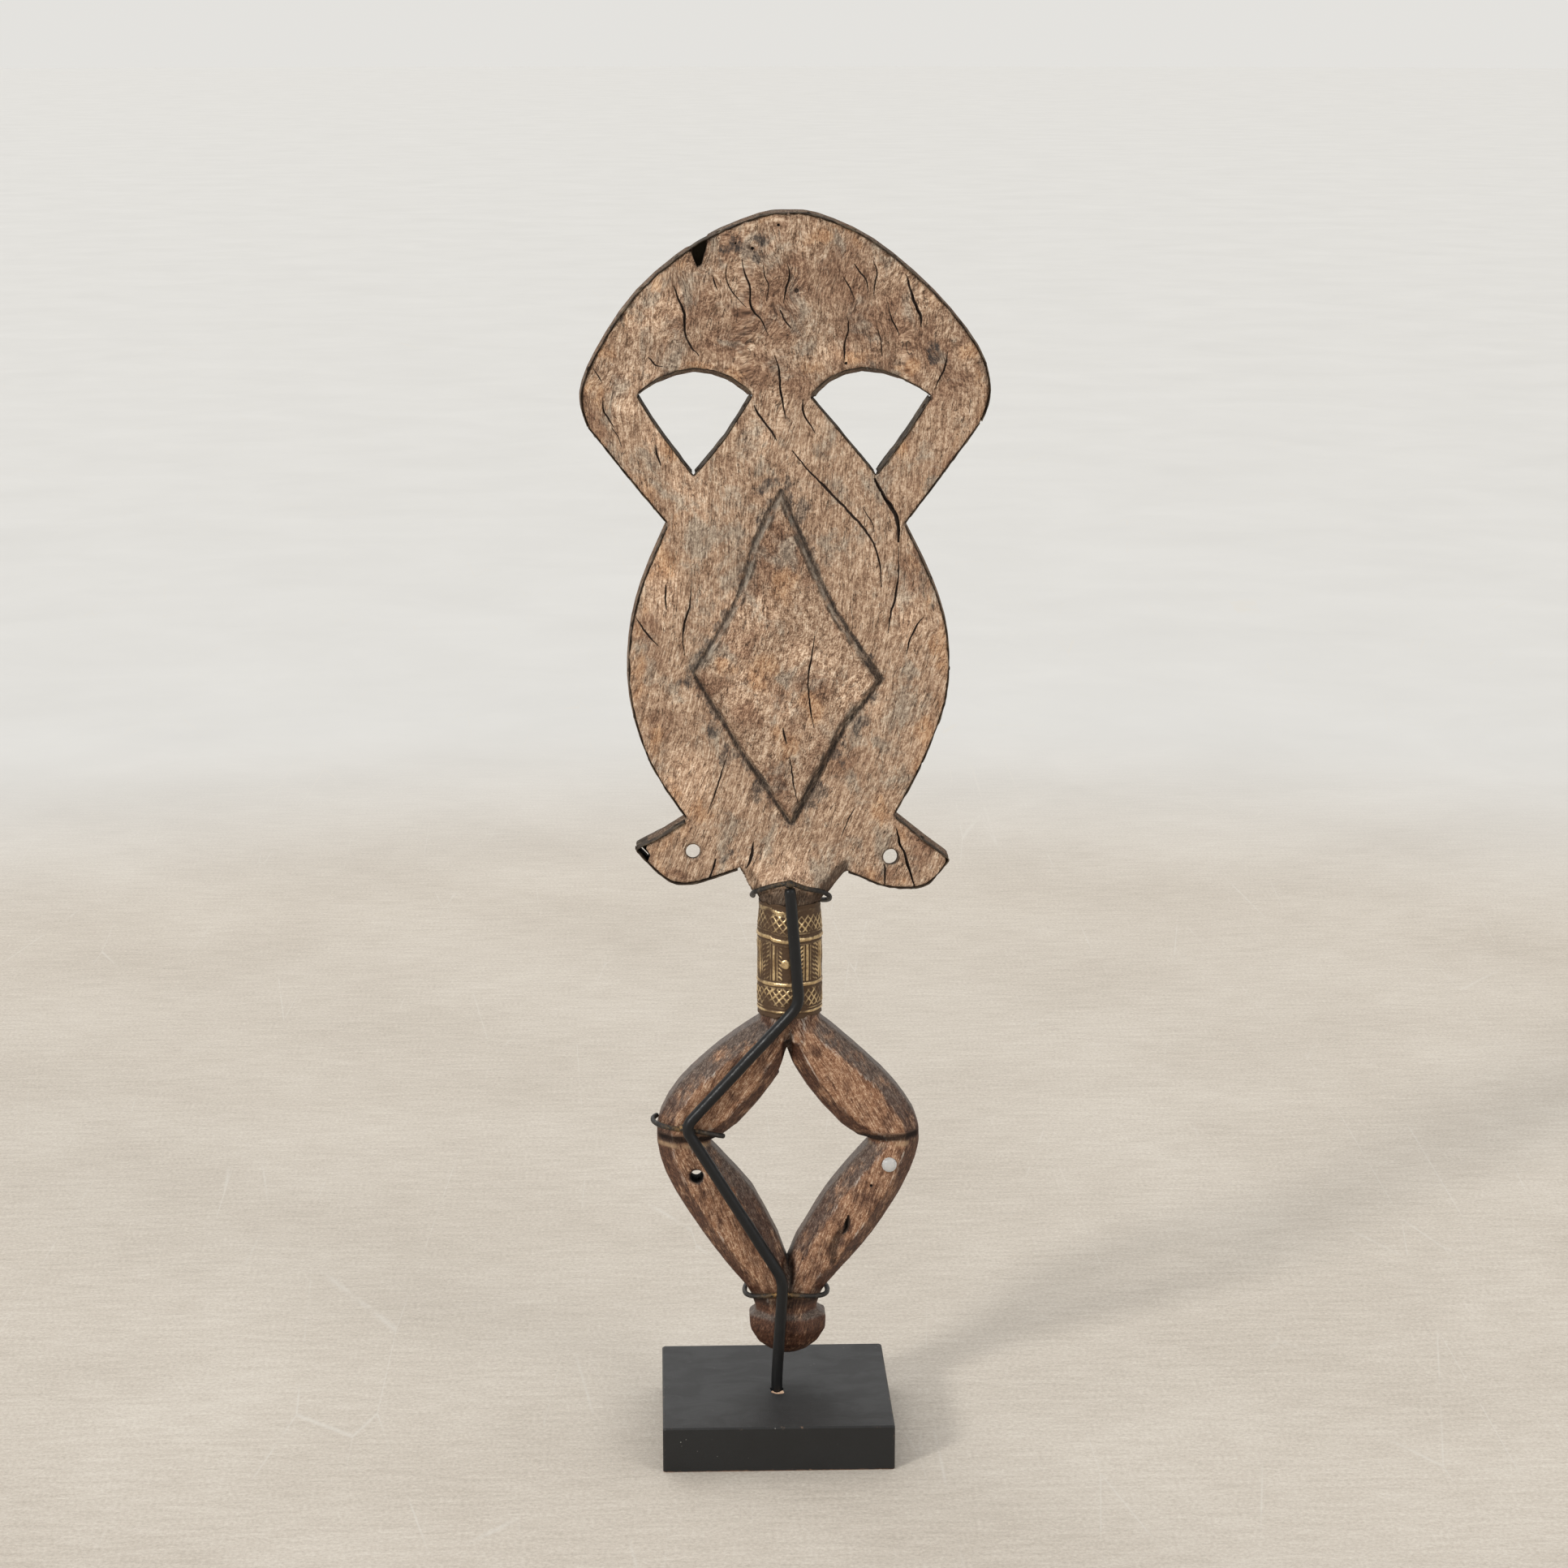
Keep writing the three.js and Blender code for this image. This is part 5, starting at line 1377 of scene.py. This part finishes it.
def build_eye(side, sign, brass, iron):
    """A domed disc with a beaded rim, held by an iron nail through its middle."""
    centre = np.array([FIGURE[0] + sign * EYE["x"], EYE["z"]])
    sides = 96
    angle = turns(sides)
    seat = front_surface(centre[None], BAND_SHIFT + 0.7)[0]
    radii = [1.55, 2.2, 3, 4, 5, 6, 7, 8, 8.8, 9.4, 10, 10.5, 11, 11.5, 12, 12.5, 12.9]
    outer, inner, lift = [], [], []
    for r in radii:
        ring = centre + r * np.stack([np.cos(angle), np.sin(angle)], 1)
        limit = front_surface(ring, BAND_SHIFT + 0.45)
        dome = seat - EYE["rise"] * max(0.0, 1 - (r / 12.2) ** 2) ** 0.8
        beads = 0.5 * ridge(r - 11.2, 1.0) * np.abs(np.sin(angle * 18))
        groove = 0.3 * ridge(r - 9.3, 0.7) - 0.25 * ridge(r - 4.5, 0.8)
        surface = np.minimum(dome - beads + groove, limit - 0.1 - beads)
        if r > 12.6:
            surface = limit - 0.1
        outer.append((r, surface))
        inner.append((r - 0.1 if r > 12.6 else r, surface + 0.55))
        lift.append(0.55 + 0.8 * beads - 1.5 * np.clip(groove, 0, 1) + 0 * angle)
    rows = outer + inner[::-1]
    dome = gather("eye_disc_" + side, [revolved_ring(rows, centre, sides)], [brass])
    mask(dome.data, "raised", np.concatenate(lift + [0 * angle] * len(inner)))
    place(dome, "figure", ["eye_dome_" + side])

    head = seat - EYE["rise"] - 0.25
    surface = front_surface(centre[None], 0)[0]
    profile = [(0, head - 2.3), (1.0, head - 2.2), (1.9, head - 1.9), (2.8, head - 1.3),
               (3.4, head - 0.7), (3.6, head - 0.2), (3.3, head), (1.15, head), (1.1, seat),
               (1.1, surface + 5), (0, surface + 6)]
    vertices, faces = turned_mesh(profile, np.array([centre[0], 0, centre[1]]), ALONG_Y, 28)
    blows = 0.16 * noise(vertices, 1.7, int(40 + sign))
    vertices = vertices + np.where(vertices[:, 1:2] < head - 0.1, blows[:, None], 0)
    nail = gather("eye_nail_" + side + "_forged", [(vertices, faces)], [iron])
    place(nail, "figure", ["eye_nail_" + side])


# ---------------------------------------------------------------- the neck sleeve
# Raised rings round the sleeve: (height, half width, rise).
UPPER_BANDS = [(282.6, 0.5, 0.35), (272.6, 0.55, 0.45), (269.4, 1.15, 0.85), (266.9, 0.45, 0.4)]
LOWER_BANDS = [(244.6, 1.15, 0.85), (242.6, 0.45, 0.35), (231.6, 0.5, 0.4), (229.8, 0.8, 0.6)]


def sleeve_relief(theta, z):
    """Pressed pattern of the sleeve in millimetres outward; theta is degrees round from the back."""
    around = np.radians(theta) * SLEEVE["radius"]
    sag = 1.6 * ridge(theta + 12, 26) + 0.9 * smoothstep(-20, 20, theta)
    high = z + sag
    weave = np.maximum(ridge(np.mod(high + 1.15 * around, 4.4) - 2.2, 0.85),
                       ridge(np.mod(high - 1.15 * around, 4.4) - 2.2, 0.85))
    relief = 0.55 * weave * ((high > 273.4) & (high < 282.0))
    relief = np.maximum(relief, 0.50 * weave * ((z > 232.8) & (z < 242.0)))
    relief = np.maximum(relief, 0.35 * ((high > 283.2) & (high < 285.2)))
    for level, wide, rise in UPPER_BANDS:
        relief = np.maximum(relief, rise * ridge(high - level, wide))
    for level, wide, rise in LOWER_BANDS:
        relief = np.maximum(relief, rise * ridge(z - level, wide))
    beads = ridge(np.mod(around, 1.9) - 0.95, 0.8)
    relief = np.maximum(relief, 0.35 * beads * ridge(high - 271.1, 0.7))
    panel = (z > 246.2) & (high < 266.4)
    phase = np.mod(np.abs(theta) - 13.5, 36.0)
    bars = 0.7 * np.maximum(ridge(phase - 10.6, 1.6), ridge(phase - 24.6, 1.6))
    bars = np.maximum(bars, ridge(phase - 17.5, 3.2))
    lean = np.where(np.mod(np.floor((np.abs(theta) - 13.5 + 18) / 36), 2) > 0, 1, -1)
    strokes = ridge(np.mod(z + lean * 0.21 * phase, 2.3) - 1.15, 0.85)
    strokes = strokes * np.maximum(ridge(phase - 3.5, 6.0), ridge(phase - 31.5, 5.5))
    pattern = np.maximum(0.75 * bars, 0.55 * strokes) * (np.abs(theta + 6) > 9)
    from_boss = np.hypot(around + 2.6, z - 255.5)
    pattern = np.maximum(pattern, 0.8 * ridge(from_boss, 2.6) - 0.3 * ridge(from_boss, 1.1))
    return np.maximum(relief, np.where(panel, pattern, 0))


def build_sleeve(material):
    """Thin pressed sheet wrapped round the neck, its end lapped over itself near the back."""
    columns, rows = 300, 128
    turn = np.linspace(0, 374, columns)
    theta = turn - 8
    height = np.linspace(0, 1, rows)
    top = SLEEVE["top"] + 0.5 * line_noise(theta, 9, 31)
    top -= 0.9 * smoothstep(0.5, 0.8, line_noise(theta, 14, 32))
    bottom = SLEEVE["bottom"] + 0.7 * line_noise(theta, 11, 33)
    bottom += 0.9 * smoothstep(0.4, 0.8, line_noise(theta, 17, 34))
    z = bottom[None] + (top - bottom)[None] * height[:, None]
    angle = np.broadcast_to(theta, z.shape)
    relief = sleeve_relief(np.mod(angle + 180, 360) - 180, z)
    spots = in_plane(angle.ravel() * 0.285, z.ravel())
    rough, worn, dented, pocked = [noise(spots, size, seed).reshape(z.shape)
                                   for size, seed in ((1.9, 38), (6, 35), (8, 36), (2.2, 37))]
    relief = relief + 0.12 * ridge(np.mod(angle + 180, 360) - 174, 9) * rough
    wear = 0.72 + 0.34 * worn
    dents = 0.2 * dented + 0.08 * pocked
    lap = 0.62 * smoothstep(318, 358, turn)[None] - 0.8 * smoothstep(268, 286, z)
    inner = SLEEVE["inner"] + 0.05 + lap + np.clip(dents + 0.15, 0, 0.5)
    lip = 0.35 * smoothstep(284.5, 286.5, z) + 0.3 * smoothstep(228.5, 226.8, z)
    outer = inner + 0.42 + relief * wear + lip * 0.6
    grids = []
    for radius in (outer, inner):
        turned = np.radians(angle)
        x, y = FIGURE[0] - radius * np.sin(turned), FIGURE[1] + radius * np.cos(turned)
        grids.append(np.stack([x, y, z], -1))
    sleeve = gather("neck_sheath", [sheet_mesh(*grids)], [material])
    raised = (relief * wear * 1.9 + 0.5 * lip).ravel()
    mask(sleeve.data, "raised", np.concatenate([raised, 0 * raised]))
    return place(sleeve, "figure", ["neck_sleeve"])


# ---------------------------------------------------------------- rod, clips and bumper
ROD_CORNERS = [(7.4, 7.0), (7.4, 32.0), (4.0, 84.5), (55.5, 169.0), (-4.2, 234.5), (0.6, 297.0)]
ROD_Y = 20.0
CLIPS = {
    "neck_clip": {
        "wire": [(9, -16.3, 284.4), (0, -18.9, 283.4), (-10, -16.4, 283.2), (-17.2, -9, 283.8),
                 (-19.8, -0.5, 286), (-20.5, 6, 288.2), (-19.8, 10.6, 291), (-15.6, 13.4, 293.8),
                 (-8, 16.6, 296), (0.5, 19.6, 299.5), (9.3, 16.8, 297.6), (17.6, 10.4, 293.4),
                 (19.6, 2.5, 289.8), (18.8, -4, 287.5)],
        "bead": (0.6, 19.6, 299.2)},
    "knee_clip": {
        "wire": [(69.8, -2, 169.4), (71.8, 1.5, 168.9), (71.5, 6.5, 168.4), (68.6, 11.4, 168),
                 (63.2, 15, 167.5), (58.6, 15.3, 166.8), (55, 15.3, 166.4), (50.6, 15.3, 165.6),
                 (42.1, 15.3, 164.1), (38.4, 14.8, 163.1), (34.8, 13, 162)],
        "bead": (55.6, 17.4, 168)},
    "ankle_clip": {
        "wire": [(22.4, -9, 72.8), (23.6, -3, 72.9), (23.9, 4, 73), (22.7, 9.6, 73.2),
                 (18.7, 13.8, 73.6), (11.5, 15.3, 74.4), (4.5, 15.4, 74.8), (-3, 15.5, 74.4),
                 (-10, 15.3, 73.9), (-15.6, 13.4, 73.5), (-19, 9.2, 73.3), (-20, 3, 73.2),
                 (-19.7, -3, 73), (-18.6, -9, 72.8)],
        "bead": (4.6, 17.4, 74.8)},
}
GOLD = {"neck_clip": (0.0, 0.1), "knee_clip": (0.3, 0.15), "ankle_clip": (0.9, 0.2)}


def build_rod(material):
    corners = np.array([(x, ROD_Y, z) for x, z in ROD_CORNERS]) + FIGURE
    path = [corners[0]]
    for before, corner, after in zip(corners, corners[1:], corners[2:]):
        start, end = [corner + (other - corner) / np.linalg.norm(other - corner) * BEND
                      for other in (before, after)]
        for t in np.linspace(0, 1, 9):
            path.append((1 - t) ** 2 * start + 2 * t * (1 - t) * corner + t * t * end)
    path.append(corners[-1])
    path = resample(np.array(path), 1.2)
    s = lengths(path)
    radius = ROD_RADIUS * np.ones(len(path))
    radius[-1], radius[-2] = 0.82 * ROD_RADIUS, 0.97 * ROD_RADIUS
    vertices, faces = tube_mesh(path, radius, 32)
    centres = np.repeat(path, 32, 0)
    outward = vertices - centres
    outward /= np.linalg.norm(outward, axis=1, keepdims=True)
    lumps = 0.07 * noise(vertices, (3.5, 3.5, 7), 51) + 0.03 * noise(vertices, 1.6, 52)
    vertices = vertices + outward * (lumps * np.repeat(smoothstep(2, 8, s), 32))[:, None]
    rod = gather("bent_rod", [(vertices, faces)], [material])
    return place(rod, "figure", ["mount_rod"])


def build_clip(name, material):
    """A bent wire with a lump of braze where it meets the rod."""
    clip = CLIPS[name]
    seed = len(clip["wire"])
    path = resample(spline(np.array(clip["wire"]) + FIGURE, 10), 0.55)
    s = lengths(path)
    radius = WIRE_RADIUS * (1 + 0.04 * line_noise(s, 3, seed))
    end = np.minimum(s, s[-1] - s)
    radius = radius * np.interp(end, [0, 0.3], [0.85, 1])
    vertices, faces = tube_mesh(path, radius, 16)
    wire = gather(name + "_wire", [(vertices, faces)], [material])
    lump, lump_faces = ball_mesh(BEAD_RADIUS, 15, 28)
    lump = lump * (1.25, 0.9, 0.95) * (1 + 0.12 * noise(lump, 1.3, seed + 1))[:, None]
    bead = gather("bead", [(lump + np.array(clip["bead"]) + FIGURE, lump_faces)], [material])
    combine(wire, bead, "UNION")
    wire.data.shade_smooth()
    strength, spread = GOLD[name]
    away = np.linalg.norm(coordinates(wire.data) - FIGURE - clip["bead"], axis=1)
    mask(wire.data, "gold", strength * smoothstep(6.5, 2.0, away) + spread * smoothstep(16, 5, away))
    return place(wire, "figure", [name])


def build_bumper(material):
    """A small clear self-adhesive dot behind the right knee."""
    centre = FIGURE + (BUMPER["x"], BUMPER["y"], BUMPER["z"])
    radius, flank, height = BUMPER["radius"], BUMPER["flank"], BUMPER["height"]
    profile = [(0, 0), (2.6, 0), (radius - 0.15, 0), (radius, flank)]
    for t in np.linspace(0.12, 1.45, 11):
        profile.append((radius * math.cos(t) ** 0.8, flank + (height - flank) * math.sin(t) ** 0.9))
    profile.append((0, height))
    vertices, faces = turned_mesh(profile, centre, ALONG_Y, 40)
    vertices[:, [0, 2]] += 0.05 * np.stack([noise(vertices, 1.5, seed) for seed in (61, 63)], 1)
    bumper = gather("clear_dot", [(vertices, faces)], [material])
    return place(bumper, "figure", ["clear_bumper"])


# ---------------------------------------------------------------- the block
# Knocks along the block's edges: (x, y, z, radius).
KNOCKS = [
    (60, 41, 24, 1.6), (60, -22, 24, 1.2), (-60, 18, 24, 1.3), (-60, 52, 24, 1.0), (22, 60, 24, 1.1),
    (-34, 60, 24, 1.4), (59.5, 59.5, 9, 1.6), (-60, 60, 15, 1.3), (47, 60, 0, 2.0), (12, 60, 0, 1.4),
    (-21, 60, 0, 1.8), (-52, 60, 0, 2.2), (60, 30, 0, 2.0), (-60, 8, 0, 1.7), (-60, -40, 0, 1.5),
    (60, -48, 0, 1.6), (-8, -60, 24, 1.2), (30, -60, 0, 1.8),
]


def lumpy_ball(centre, size, seed, material):
    """A rough ball to cut a chip with; size is its radius, one number or one per axis."""
    vertices, faces = ball_mesh(1, 13, 24)
    vertices = vertices * size * (1 + 0.22 * noise(vertices + 7 * seed, 0.8, seed))[:, None]
    return gather("cut", [(vertices + np.array(centre), faces)], [material])


def build_block():
    paint, chip = block_material(), bare_wood_material()
    block = cad_copy("base_block", "painted_block")
    bevel = block.modifiers.new("bevel", "BEVEL")
    bevel.width = 0.5 * MM
    bevel.segments = 3
    bevel.limit_method = "ANGLE"
    bevel.angle_limit = math.radians(50)
    apply_modifiers(block)
    block.data.materials.clear()
    block.data.materials.append(paint)
    for seed, (x, y, z, radius) in enumerate(KNOCKS):
        upright = 1 if z > 23 else -(z < 1)
        away = np.array([np.sign(x) * (abs(x) > 59), np.sign(y) * (abs(y) > 59), upright], float)
        centre = np.array([x, y, z]) + 0.55 * radius * away
        combine(block, lumpy_ball(centre, radius, seed, paint), "DIFFERENCE")
    # The paint has chipped down to bare wood behind the rod.
    combine(block, lumpy_ball((-0.8, 10.6, 24.6), np.array([3.7, 3.2, 1.6]), 71, chip), "DIFFERENCE")
    for face in block.data.polygons:
        face.use_smooth = face.area < 4 * MM * MM
    return place(block, "stand", ["base_block"])


# ---------------------------------------------------------------- floor, light and camera
def sun(name, towards_light, softness, strength, colour=(1, 1, 1)):
    """Even light from one direction; softness is how wide the source looks, in degrees."""
    light = bpy.data.lights.new(name, "SUN")
    light.angle = math.radians(softness)
    light.energy = strength
    light.color = colour
    obj = bpy.data.objects.new(name, light)
    obj.rotation_euler = Vector(towards_light).to_track_quat("Z", "Y").to_euler()
    bpy.context.scene.collection.objects.link(obj)
    return obj


def build_stage():
    ring = [(FLOOR["radius"] * math.cos(t), FLOOR["radius"] * math.sin(t), -FLOOR["gap"])
            for t in turns(FLOOR["sides"])]
    floor = new_object("floor", ring, [range(len(ring))], [floor_material()], smooth=False)
    sun("window", (0.646, 0.649, 0.402), 9, 1.5, (1.0, 0.985, 0.96))
    sun("other_window", (-0.62, 0.62, 0.48), 22, 0.5)
    sun("front", (0.45, -0.85, 0.75), 50, 0.55)

    # The room: bright up to the horizon, so that the floor runs into it, and softer overhead.
    scene = bpy.context.scene
    world = bpy.data.worlds.new("room_light")
    world.use_nodes = True
    tree = world.node_tree
    direction, split, height, blend = [tree.nodes.new("ShaderNode" + kind) for kind in (
        "TexCoord", "SeparateXYZ", "MapRange", "Mix")]
    height.inputs["From Min"].default_value = 0.05
    height.inputs["From Max"].default_value = 0.5
    blend.data_type = "RGBA"
    blend.inputs[6].default_value = (0.775, 0.762, 0.732, 1)
    blend.inputs[7].default_value = (0.62, 0.62, 0.62, 1)
    for source, target in (
            (direction.outputs["Generated"], split.inputs[0]),
            (split.outputs["Z"], height.inputs["Value"]),
            (height.outputs[0], blend.inputs[0]),
            (blend.outputs[2], tree.nodes["Background"].inputs["Color"])):
        tree.links.new(source, target)
    scene.world = world
    scene.view_settings.view_transform = "Standard"

    camera_data = bpy.data.cameras.new("camera")
    camera_data.lens = CAMERA["lens"]
    camera_data.clip_end = 100
    camera = bpy.data.objects.new("camera", camera_data)
    camera.location = Vector(CAMERA["at"]) * MM
    camera.rotation_euler = Vector(CAMERA["towards"]).to_track_quat("-Z", "Y").to_euler()
    scene.collection.objects.link(camera)
    scene.camera = camera


def build():
    build_wood()
    strip = dark_strip_material()
    seed = 100
    for node, name, left, right in STRIPS:
        for side, (torn, proud) in (("left", left), ("right", right)):
            build_strip(node + side, name + side, strip, seed, torn, proud)
            seed += 10
    brass = brass_material("brass_sheet", (0.28, 0.17, 0.055), (0.62, 0.42, 0.17), (0.075, 0.055, 0.028),
                           0.30)
    copper = brass_material("copper_sheet", (0.27, 0.12, 0.055), (0.60, 0.32, 0.17), (0.07, 0.038, 0.024),
                            0.32)
    sheets = [("crescent_sheet", "crescent_plate", SHEET_SHIFT, brass, crescent_pattern)]
    for side in ("left", "right"):
        for node, name, shift, material, pattern in (
                ("strut_sheet_", "wing_plate_", SHEET_SHIFT, brass, strut_pattern),
                ("face_sheet_upper_", "forehead_plate_", SHEET_SHIFT, brass, strips_pattern(0.6)),
                ("face_sheet_lower_", "cheek_plate_", SHEET_SHIFT, copper, strips_pattern(-0.6)),
                ("pendant_sheet_", "pendant_plate_", SHEET_SHIFT, brass, pendant_pattern),
                ("face_band_", "eye_band_", BAND_SHIFT, copper, band_pattern)):
            sheets.append((node + side, name + side, shift, material, pattern))
    sheets.append(("face_band_upright", "upright_band", BAND_SHIFT, copper, band_pattern))
    for seed, (node, name, shift, material, pattern) in enumerate(sheets):
        build_sheet(node, name, shift, material, pattern, 300 + 10 * seed)
    build_nose(brass)
    iron = iron_material()
    build_eye("left", 1, brass, iron)
    build_eye("right", -1, brass, iron)
    build_sleeve(brass_material("sleeve_brass", (0.27, 0.16, 0.072), (0.78, 0.59, 0.33),
                                (0.085, 0.047, 0.023), 0.32))
    build_rod(rod_material())
    wire = wire_material()
    for name in CLIPS:
        build_clip(name, wire)
    build_bumper(clear_material())
    build_block()
    build_stage()


build()
